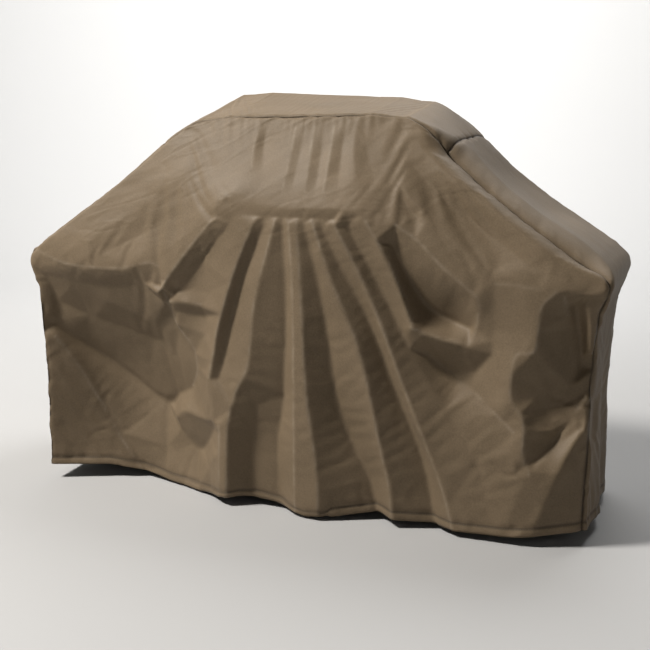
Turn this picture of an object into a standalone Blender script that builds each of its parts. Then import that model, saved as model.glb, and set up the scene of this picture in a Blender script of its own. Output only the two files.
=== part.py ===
"""Fitted grill cover: five sewn fabric panels, bound seams and four hook-and-loop leg straps.

Metres, +Z up. +X is the cover's right side seen from the front, and the front faces -Y.
The origin is on the floor under the middle of the cover, which stands on its hem.
"""

import math

import bmesh
import bpy
from mathutils import Vector

# The cover's shape
HALF_DEPTH = 0.285         # middle to front or back wall, at the hem
SHELF_TOP = 0.705          # height up to which the side shelves hold the walls out
SHELF_LEAN = 0.003         # how far the walls lean in between the hem and the shelf top
HOOD_HALF_DEPTH = 0.185    # middle to the top seams
TOP_Z = 1.070              # height of the top front seam
HOOD_RISE = 0.065          # height of the hood's crown over its front seam
REAR_RISE = 0.045          # height of the top rear seam over the front seam
CROWN_SHARE = 0.73         # the crown's place between the front seam, 0, and the rear seam, 1
HOOD_FOOT_X = 0.517        # the hood's rise has died out here
TOP_CORNER_X = 0.295
TOP_FLAT_X = 0.200         # the top is level from side to side within this
TOP_CORNER_Z = 1.058
HANDLE_Z = 0.835           # ridge that the hood's handle pushes into the front wall
HANDLE_REACH = 0.312       # the ridge's distance in front of the walls' middle
HANDLE_FLAT_X = 0.20       # half length of the ridge at its full reach
HANDLE_END_X = 0.48        # half length where the ridge has died out
MIDDLE_Y = (HANDLE_REACH - HALF_DEPTH) / 2.0   # the ridge puts the walls' middle behind the origin

# Half width and height of the side outline, from the hem up to the corner of the top.
SIDE_OUTLINE = [
    (0.780, 0.000),
    (0.780, 0.180),
    (0.780, 0.360),
    (0.793, 0.560),
    (0.818, 0.635),
    (0.825, 0.665),
    (0.817, 0.692),
    (0.795, 0.716),
    (0.765, 0.740),
    (0.630, HANDLE_Z),
    (0.520, 0.915),
    (0.417, 0.994),
    (0.350, 1.034),
    (TOP_CORNER_X, TOP_CORNER_Z),
]
CROSS_SEAM = 11            # outline point where a side gusset meets the top gusset

# Fabric, seams and bindings
FABRIC = 0.0012            # coated woven fabric
GAP = 0.0003               # air between pieces that touch
SEAM_INSET = 0.0018        # gusset edge behind the outer face of the front or back panel
BINDING_WIDTH = 0.012
BINDING_THICK = 0.0020
BINDING_GAP = 0.0006       # air between a binding and the gusset over it
HEM_HEIGHT = 0.020         # the bindings end at the top of the turned hem
PANEL_COLUMNS = 16
GUSSET_SHARES = (0.25, 0.5, CROWN_SHARE, 0.87)

# Leg straps, one near each corner, hanging on the inner face of the side gussets
STRAP_Y = 0.190
STRAP_TOP = 0.310
STRAP_LENGTH = 0.270
STRAP_WIDTH = 0.025
STRAP_THICK = 0.0016
TIP_RADIUS = 0.008
ANCHOR_SIZE = 0.050
ANCHOR_THICK = 0.0012
TAPE_THICK = 0.0014        # hook tape and loop tape alike
TAPE_WIDTH = 0.021
HOOK_LENGTH = 0.060
LOOP_LENGTH = 0.120
HOOK_FROM_TIP = 0.006
LOOP_FROM_TOP = 0.030

FABRIC_TAUPE = (0.24, 0.19, 0.135)
BINDING_BROWN = (0.10, 0.075, 0.05)
WEBBING_BROWN = (0.07, 0.055, 0.04)
HOOK_BLACK = (0.02, 0.02, 0.02)
LOOP_BROWN = (0.05, 0.04, 0.03)


def blend(start, end, share):
    return start + (end - start) * share


def smooth_share(value, start, end):
    """0 up to start and 1 from end on, with a smooth rise between them."""
    share = min(1.0, max(0.0, (value - start) / (end - start)))
    return share * share * (3.0 - 2.0 * share)


def wall_reach(z):
    """Distance from the middle to the front or back wall, at the wall's edges."""
    if z <= SHELF_TOP:
        return HALF_DEPTH - SHELF_LEAN * z / SHELF_TOP
    share = (z - SHELF_TOP) / (TOP_Z - SHELF_TOP)
    return blend(HALF_DEPTH - SHELF_LEAN, HOOD_HALF_DEPTH, min(1.0, share))


def front_y(x, z):
    """The front wall, with the ridge that the hood's handle pushes out."""
    edge = wall_reach(z)
    if z <= HANDLE_Z:
        tent = blend(HALF_DEPTH, HANDLE_REACH, z / HANDLE_Z)
    else:
        tent = blend(HANDLE_REACH, HOOD_HALF_DEPTH, (z - HANDLE_Z) / (TOP_Z - HANDLE_Z))
    over_handle = 1.0 - smooth_share(abs(x), HANDLE_FLAT_X, HANDLE_END_X)
    return MIDDLE_Y - blend(edge, max(edge, tent), over_handle)


def hood_rise(x, share):
    """Height that the hood adds to the gusset between the front seam and the rear seam."""
    over_hood = 1.0 - smooth_share(abs(x), TOP_CORNER_X, HOOD_FOOT_X)
    if share <= CROWN_SHARE:
        return over_hood * HOOD_RISE * share / CROWN_SHARE
    return over_hood * blend(HOOD_RISE, REAR_RISE, (share - CROWN_SHARE) / (1.0 - CROWN_SHARE))


def top_height(x):
    """Height of the top front seam at x."""
    share = (TOP_CORNER_X - abs(x)) / (TOP_CORNER_X - TOP_FLAT_X)
    return blend(TOP_CORNER_Z, TOP_Z, min(1.0, share))


def gusset_point(x, z, share):
    """A point of the gusset's outer face; x and z are on the front outline."""
    reach = wall_reach(z) - SEAM_INSET
    y = MIDDLE_Y + blend(-reach, reach, share)
    return Vector((x, y, z + hood_rise(x, share)))


def gusset_share(z, distance):
    """The share that lies a distance behind the gusset's front edge."""
    return distance / (2.0 * (wall_reach(z) - SEAM_INSET))


def moved_towards(point, target, distance):
    """A point of the outline moved along it by a distance."""
    length = math.dist(point, target)
    return tuple(blend(a, b, distance / length) for a, b in zip(point, target))


def whole_outline():
    """The outline from the left hem over the top to the right hem."""
    right = SIDE_OUTLINE + [(TOP_FLAT_X, TOP_Z)]
    left = [(-x, z) for x, z in right]
    return left + right[::-1]


def material(name, colour, roughness):
    result = bpy.data.materials.new(name)
    result.use_nodes = True
    shader = result.node_tree.nodes["Principled BSDF"]
    shader.inputs["Base Color"].default_value = (*colour, 1.0)
    shader.inputs["Roughness"].default_value = roughness
    shader.inputs["Metallic"].default_value = 0.0
    return result


def add_object(name, bm, colour, roughness=0.6):
    mesh = bpy.data.meshes.new(name)
    bm.to_mesh(mesh)
    bm.free()
    mesh.materials.append(material(name, colour, roughness))
    result = bpy.data.objects.new(name, mesh)
    bpy.context.scene.collection.objects.link(result)
    return result


def layer(name, rows, outward, thickness, colour, depth=0.0):
    """A solid layer under a grid of points: it starts at a depth and runs inwards."""
    bm = bmesh.new()
    grid = [[bm.verts.new(point) for point in row] for row in rows]
    for lower, upper in zip(grid, grid[1:]):
        for left in range(len(lower) - 1):
            bm.faces.new((lower[left], lower[left + 1], upper[left + 1], upper[left]))
    bm.normal_update()
    facing = sum((face.normal for face in bm.faces), Vector())
    if facing.dot(Vector(outward)) < 0.0:
        bmesh.ops.reverse_faces(bm, faces=bm.faces[:])
    result = add_object(name, bm, colour)
    solid = result.modifiers.new("Thickness", "SOLIDIFY")
    solid.thickness = thickness
    solid.offset = -1.0 - 2.0 * depth / thickness
    solid.use_even_offset = True
    return result


def wall_rows(is_front):
    """The front or back wall: one row of points for each height of the outline."""
    rows = []
    for half_width, z in SIDE_OUTLINE:
        row = []
        for column in range(PANEL_COLUMNS + 1):
            x = half_width * (2.0 * column / PANEL_COLUMNS - 1.0)
            height = top_height(x) if z == TOP_CORNER_Z else z
            if is_front:
                row.append(Vector((x, front_y(x, z), height)))
            else:
                y = MIDDLE_Y + wall_reach(z)
                row.append(Vector((x, y, height + hood_rise(half_width, 1.0))))
        rows.append(row)
    return rows


def add_walls():
    layer("front_panel", wall_rows(True), (0.0, -1.0, 0.0), FABRIC, FABRIC_TAUPE)
    layer("back_panel", wall_rows(False), (0.0, 1.0, 0.0), FABRIC, FABRIC_TAUPE)


def gusset_rows(outline):
    """The gusset's grid, with a column at the inner edge of each perimeter binding."""
    rows = []
    for x, z in outline:
        width = gusset_share(z, BINDING_WIDTH)
        shares = [0.0, width, *GUSSET_SHARES, 1.0 - width, 1.0]
        rows.append([gusset_point(x, z, share) for share in shares])
    return rows


def add_gussets():
    """Two side gussets and the top gusset between them, with a gap at each cross seam."""
    seam = SIDE_OUTLINE[CROSS_SEAM]
    side = SIDE_OUTLINE[:CROSS_SEAM] + [moved_towards(seam, SIDE_OUTLINE[CROSS_SEAM - 1], GAP)]
    start = moved_towards(seam, SIDE_OUTLINE[CROSS_SEAM + 1], GAP)
    right_top = [start] + SIDE_OUTLINE[CROSS_SEAM + 1:] + [(TOP_FLAT_X, TOP_Z)]
    top = [(-x, z) for x, z in right_top] + right_top[::-1]
    left = [(-x, z) for x, z in side]
    layer("right_gusset", gusset_rows(side), (1.0, 0.0, 0.0), FABRIC, FABRIC_TAUPE)
    layer("left_gusset", gusset_rows(left), (-1.0, 0.0, 0.0), FABRIC, FABRIC_TAUPE)
    layer("top_gusset", gusset_rows(top), (0.0, 0.0, 1.0), FABRIC, FABRIC_TAUPE)


def add_perimeter_bindings():
    """One tape along the front seam and one along the back seam, from hem to hem."""
    outline = whole_outline()
    outline[0] = (-SIDE_OUTLINE[0][0], HEM_HEIGHT)
    outline[-1] = (SIDE_OUTLINE[0][0], HEM_HEIGHT)
    front = []
    back = []
    for x, z in outline:
        width = gusset_share(z, BINDING_WIDTH)
        front.append([gusset_point(x, z, share) for share in (0.0, width)])
        back.append([gusset_point(x, z, share) for share in (1.0 - width, 1.0)])
    depth = FABRIC + BINDING_GAP
    layer("front_seam_binding", front, (0.0, 0.0, 1.0), BINDING_THICK, BINDING_BROWN, depth)
    layer("back_seam_binding", back, (0.0, 0.0, 1.0), BINDING_THICK, BINDING_BROWN, depth)


def add_cross_bindings():
    """A tape under each cross seam, between the two perimeter bindings."""
    seam = SIDE_OUTLINE[CROSS_SEAM]
    below = moved_towards(seam, SIDE_OUTLINE[CROSS_SEAM - 1], BINDING_WIDTH / 2.0)
    above = moved_towards(seam, SIDE_OUTLINE[CROSS_SEAM + 1], BINDING_WIDTH / 2.0)
    margin = gusset_share(seam[1], BINDING_WIDTH + 2.0 * GAP)
    shares = [margin, *GUSSET_SHARES, 1.0 - margin]
    for side, sign in (("left", -1.0), ("right", 1.0)):
        rows = [[gusset_point(sign * x, z, share) for share in shares] for x, z in (below, seam, above)]
        name = side + "_cross_seam_binding"
        layer(name, rows, (0.0, 0.0, 1.0), BINDING_THICK, BINDING_BROWN, FABRIC + BINDING_GAP)


def strip(name, hinge, sign, inset, top, length, width, thickness, colour, tip_radius=0.0):
    """A flat strip hanging under the hinge line, with its face towards the inside.

    inset is how far it lies inside the hinge line, and top how far below it.
    """
    corners = 6 if tip_radius else 0
    outline = [(-width / 2.0, -top), (width / 2.0, -top)]
    for side in (1.0, -1.0):
        centre_y = side * (width / 2.0 - tip_radius)
        for step in range(corners + 1):
            turn = step if side > 0.0 else corners - step
            angle = math.pi / 2.0 * turn / max(1, corners)
            y = centre_y + side * tip_radius * math.cos(angle)
            z = -top - length + tip_radius * (1.0 - math.sin(angle))
            outline.append((y, z))
    bm = bmesh.new()
    face = bm.faces.new([bm.verts.new((-sign * inset, y, z)) for y, z in outline])
    extruded = bmesh.ops.extrude_face_region(bm, geom=[face])
    moved = [item for item in extruded["geom"] if isinstance(item, bmesh.types.BMVert)]
    bmesh.ops.translate(bm, verts=moved, vec=(-sign * thickness, 0.0, 0.0))
    bmesh.ops.recalc_face_normals(bm, faces=bm.faces[:])
    result = add_object(name, bm, colour)
    result.parent = hinge
    return result


def add_strap(side, sign, end, y):
    """An anchor patch on the gusset and a strap that swings inwards from its stitch line.

    The hinge line is on the strap's inner face, so that the strap folds up clear of the patch.
    """
    label = end + "_" + side
    wall_x = SIDE_OUTLINE[0][0] - FABRIC - GAP
    anchor = strip(
        "strap_anchor_" + label, None, sign, 0.0, -ANCHOR_SIZE / 2.0,
        ANCHOR_SIZE, ANCHOR_SIZE, ANCHOR_THICK, BINDING_BROWN,
    )
    anchor.location = (sign * wall_x, y, STRAP_TOP)

    hinge = bpy.data.objects.new("strap_hinge_" + label, None)
    hinge.location = (sign * (wall_x - ANCHOR_THICK - GAP - STRAP_THICK), y, STRAP_TOP)
    bpy.context.scene.collection.objects.link(hinge)
    strip(
        "leg_strap_" + label, hinge, sign, -STRAP_THICK, 0.0,
        STRAP_LENGTH, STRAP_WIDTH, STRAP_THICK, WEBBING_BROWN, TIP_RADIUS,
    )
    strip(
        "loop_tape_" + label, hinge, sign, GAP, LOOP_FROM_TOP,
        LOOP_LENGTH, TAPE_WIDTH, TAPE_THICK, LOOP_BROWN,
    )
    strip(
        "hook_tape_" + label, hinge, sign, GAP,
        STRAP_LENGTH - HOOK_FROM_TIP - HOOK_LENGTH,
        HOOK_LENGTH, TAPE_WIDTH, TAPE_THICK, HOOK_BLACK,
    )


def add_straps():
    for side, sign in (("left", -1.0), ("right", 1.0)):
        for end, y in (("front", -STRAP_Y), ("back", STRAP_Y)):
            add_strap(side, sign, end, MIDDLE_Y + y)


def main():
    for item in list(bpy.data.objects):
        bpy.data.objects.remove(item, do_unlink=True)
    add_walls()
    add_gussets()
    add_perimeter_bindings()
    add_cross_bindings()
    add_straps()


main()
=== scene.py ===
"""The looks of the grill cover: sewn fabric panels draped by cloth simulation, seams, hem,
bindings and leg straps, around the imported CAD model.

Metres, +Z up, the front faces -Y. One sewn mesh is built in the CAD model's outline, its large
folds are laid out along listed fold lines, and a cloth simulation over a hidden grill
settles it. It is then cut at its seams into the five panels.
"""

import math

import bmesh
import bpy
import numpy as np
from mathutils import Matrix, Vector
from mathutils.geometry import delaunay_2d_cdt
from mathutils.kdtree import KDTree


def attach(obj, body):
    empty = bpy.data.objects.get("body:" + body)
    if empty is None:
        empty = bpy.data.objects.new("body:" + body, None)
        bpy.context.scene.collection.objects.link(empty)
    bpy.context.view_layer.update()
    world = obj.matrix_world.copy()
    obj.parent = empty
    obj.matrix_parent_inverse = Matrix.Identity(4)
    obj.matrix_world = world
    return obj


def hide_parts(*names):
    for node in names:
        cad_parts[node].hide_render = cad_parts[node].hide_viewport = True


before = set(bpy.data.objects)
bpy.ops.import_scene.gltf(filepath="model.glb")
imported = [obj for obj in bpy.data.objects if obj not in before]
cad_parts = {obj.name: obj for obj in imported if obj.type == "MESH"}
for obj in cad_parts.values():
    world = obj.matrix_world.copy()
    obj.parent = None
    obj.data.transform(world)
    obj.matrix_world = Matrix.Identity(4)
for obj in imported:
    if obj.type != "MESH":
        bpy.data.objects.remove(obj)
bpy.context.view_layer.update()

# The cover's shape, as in the CAD model
HALF_DEPTH = 0.285
SHELF_TOP = 0.705
SHELF_LEAN = 0.003         # how far the walls lean in below the shelves
HOOD_HALF_DEPTH = 0.185
TOP_Z = 1.070
HOOD_RISE = 0.065          # how far the crown of the top lies over its front seam
REAR_RISE = 0.045          # and its rear seam
CROWN_SHARE = 0.73         # where the crown is, from the front seam to the rear seam
LEAN_LEFT = 1.29           # how much of that rise the left end has
LEAN_RIGHT = 0.79          # and the right end
HOOD_FOOT_X = 0.517
TOP_CORNER_X = 0.295
TOP_FLAT_X = 0.200
TOP_CORNER_Z = 1.058
HANDLE_Z = 0.835
HANDLE_REACH = 0.312
HANDLE_FLAT_X = 0.12       # the ridge over the handle is full this far from the middle
HANDLE_END_X = 0.50        # and ends here
MIDDLE_Y = (HANDLE_REACH - HALF_DEPTH) / 2.0
SIDE_OUTLINE = [
    (0.780, 0.000), (0.780, 0.180), (0.780, 0.360), (0.793, 0.560), (0.818, 0.635),
    (0.825, 0.665), (0.817, 0.692), (0.795, 0.716), (0.765, 0.740), (0.630, HANDLE_Z),
    (0.520, 0.915), (0.417, 0.994), (0.350, 1.034), (TOP_CORNER_X, TOP_CORNER_Z),
]
CROSS_SEAM_X = 0.417

# The sewn mesh
ROW_CELLS = 116            # cells up the side outline of the mesh that settles
COLUMNS = 130              # cells across its front and back
GUSSET_CELLS = 40          # cells from its front seam to its back seam
HEM_REACH = 0.45           # the hem's waves die out at this height
SHELF_ROUND = 0.012        # how softly the walls bend in over the shelves
RIDGE_ROUND = 0.034        # how softly the fabric bends over the handle
CREASE_STEP = 0.012        # distance between points on a crease line
SAME_PLACE = 0.006         # crease points nearer than this are one
RASTER = 0.004             # cell of the map that the creases are drawn on
MAP_LOW = (-0.90, -0.06)   # its lower left corner
MAP_SPAN = (1.80, 1.20)
MAP_MARGIN = 30            # cells that are filled in beyond the outermost creases
ROUNDING_PASSES = 1        # how much the creases are rounded over
FRONT_GAIN = 1.12          # how much deeper than their lines' depths the folds are made
BACK_GAIN = 1.5
GUSSET_GAIN = 1.3
SLOPE_SAG = 0.016          # how far the gusset sags between the hood and a shelf

# Hems, seams and wrinkles
CLOTH_THICK = 0.0008
HEM_ROWS = 3               # fine rows in the turned-up hem
HEM_TURN = 0.0024          # how far inside the turned-up layer lies
HEM_PROUD = 0.0014         # how far the hem stands out
HEM_STITCH = 0.0210        # height of the hem's stitch line
HEM_DIP = 0.0030           # how deep and wide its groove is
HEM_DIP_WIDTH = 0.0055
HEM_PUCKER = 0.0022
HEM_PUCKER_REACH = 0.022
FLOOR_GAP = 0.002
EDGE_CELLS = 6             # how many fine cells from a seam its sides' directions are read
EDGE_EVEN = 8              # and over how many cells to either side they are evened out
LOW_RADIUS = 0.014         # how widely the sewn edges are rounded below the shelf and on top
SLOPE_RADIUS = 0.035       # and over the slopes
RIGHT_RADIUS = 0.100       # and at the front of the right slope, which hangs the loosest
SHEEN_AND_WEAR_LINES = ("ridge", "streak", "edge", "thin", "second shade top")  # fold lines that get the painted crest highlight, which also stands for rubbed wear
SHEEN_AND_WEAR_REACH = 0.009         # how far from a raised fold line its painted highlight and wear reach
SHEEN_AND_WEAR_STEP = 0.003
GROOVE_REACH = 0.006       # and from a stitch line the shade in its groove
SEAM_DIP = 0.0034
SEAM_WIDTH = 0.0060
SEAM_STITCH = 0.0070       # distance of the topstitching from a seam
PUCKER = 0.0026
PUCKER_STEP = 0.020        # length of one pucker along a seam
PUCKER_REACH = 0.020       # how far from the seam it reaches
WAVE_HIGH = 0.0008         # height and size of the fabric's soft waves
WAVE_SIZE = 0.060
RIPPLE_HIGH = 0.0003       # and of its ripples
RIPPLE_SIZE = 0.024
CREASE_HIGH = 0.0006       # height of its thin creases
CREASE_WIDTH = 0.16        # and their width, as a share of the noise they follow
TAPE_OFF = 0.0012          # how far a binding lies under the fabric's outer face
TAPE_THICK = 0.0016
TAPE_ACROSS = 0.0120
STITCH_PITCH = 0.0065
STITCH_LENGTH = 0.0046
THREAD_WIDTH = 0.0007

# Straps, as in the CAD model
STRAP_Y = 0.190
STRAP_TOP = 0.310
STRAP_LENGTH = 0.270
STRAP_WIDTH = 0.025
STRAP_THICK = 0.0016
STRAP_ROUND = 0.008
STRAP_FACE = 0.7770        # outer face of the webbing
ANCHOR_Z = 0.310
ANCHOR_SIZE = 0.050
ANCHOR_FACE = 0.7785
ANCHOR_THICK = 0.0012
GUSSET_SKIN = 0.7797       # outer face of the gusset over an anchor
TAPE_WIDTH = 0.021
TAPE_FACE = 0.7740         # inner face of the hook and loop tapes
TAPE_BASE = 0.0011
LOOP_LENGTH = 0.120
LOOP_FROM_TOP = 0.030
HOOK_LENGTH = 0.060
HOOK_FROM_TIP = 0.006
HOOK_PITCH = 0.0015        # distance between the hooks of a row
HOOK_PROFILE = ((0.0, 0.0), (0.0007, 0.0), (0.0011, 0.0005), (0.0009, 0.0009))  # how far out and up
HOOK_SECTION = ((-0.00018, -0.00018), (0.00018, -0.00018), (0.0, 0.00022))

HOLD_OPEN = 0.30           # how firmly the settling holds open fabric to its laid-out place
HOLD_SEAM = 0.55
HOLD_CORNER = 0.95         # and at the ends of the hood
FALL = 0.012               # about how far a point may move while it settles
LOOSE_GROWTH = 0.005       # how much too large the fabric is where it hangs loose
TAUT_GROWTH = 0.001        # and where it is drawn over the hood
SETTLE_FRAMES = 22
CLOTH = {
    "quality": 5, "mass": 0.25, "tension_stiffness": 25.0, "compression_stiffness": 18.0,
    "shear_stiffness": 12.0, "bending_stiffness": 1.5, "tension_damping": 12.0,
    "compression_damping": 12.0, "shear_damping": 8.0, "bending_damping": 0.5, "air_damping": 4.0,
    "vertex_group_mass": "hold", "pin_stiffness": 0.6, "vertex_group_shrink": "taut",
    "shrink_min": -LOOSE_GROWTH, "shrink_max": -TAUT_GROWTH,
}
COLLISION = {"thickness_outer": 0.003, "thickness_inner": 0.05, "cloth_friction": 12.0, "damping": 0.8}
HOOD_POINTS = ((0.40, 0.80), (0.40, 0.985), (0.29, 1.048))  # the hidden hood: x and z of its corners
HOOD_INSET = 0.012         # how far it lies inside the walls
HANDLE_XS = (-0.20, -0.14, 0.14, 0.20)
HANDLE_INSET = 0.018
HANDLE_RADIUS = 0.012
SHELF_XS = (0.50, 0.812)
SHELF_ZS = (0.63, 0.695)
SHELF_INSET = 0.006
STRAP_SPACE = (0.72, 0.7795, 0.032, 0.02, 0.345)  # a strap's room: x from, to, half depth, z from, to

# Colours and tones
FABRIC_LIGHT = (0.160, 0.117, 0.073)
FABRIC_DARK = (0.118, 0.086, 0.052)
# Colour of the painted highlight along the raised fold crests, which also stands for rubbed wear
CREST_SHEEN_AND_DUST = (0.30, 0.25, 0.19)
# Brown of the seam tapes, which is also the colour of the painted shade in the stitched grooves
SEAM_BROWN_AND_GROOVE_SHADE = (0.040, 0.030, 0.021)
# Strength of that painted crest highlight
CREST_SHEEN_AND_WEAR = 0.40
GROOVE_SHADE = 0.75
WEBBING_BROWN = (0.055, 0.044, 0.032)
HOOK_BLACK = (0.020, 0.019, 0.018)
LOOP_BLACK = (0.028, 0.026, 0.024)
THREAD_BROWN = (0.085, 0.066, 0.044)
WEAVE_PITCH = 0.0008
WAVE_PERIOD = 0.314        # a wave texture of scale 1 repeats at this distance
MATERIALS = {}

# Stage, lights and camera
FLOOR_COLOUR = (0.38, 0.377, 0.372, 1.0)
SWEEP_RADIUS = 8.0
SWEEP_CURVE = 3.0
SWEEP_HEIGHT = 6.0
SWEEP_TURNS = 96
SWEEP_STEPS = 12
# Each lamp's name, place, the point it faces, size, watts and colour
LAMPS = (
    ("key", (-2.78, -2.13, 4.24), (0.0, 0.0, 0.6), 0.9, 450.0, (1.0, 0.97, 0.93)),
    ("background", (-1.0, 3.4, 5.4), (-3.2, 7.6, 2.6), 3.0, 800.0, (1.0, 1.0, 1.0)),
    ("overhead", (0.9, 1.6, 4.0), (0.2, 0.0, 0.8), 2.0, 95.0, (1.0, 1.0, 1.0)),
)
STUDIO_BACK = (-0.366, 0.93, 0.0)
STUDIO_FRONT_LEVEL = 0.0
STUDIO_BACK_LEVEL = 0.60
CAMERA_AZIMUTH = 21.5
CAMERA_ELEVATION = 9.92
CAMERA_DISTANCE = 2.80
CAMERA_TARGET = (0.0, 0.0095, 0.474)
CAMERA_LENS = 53.2

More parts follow.
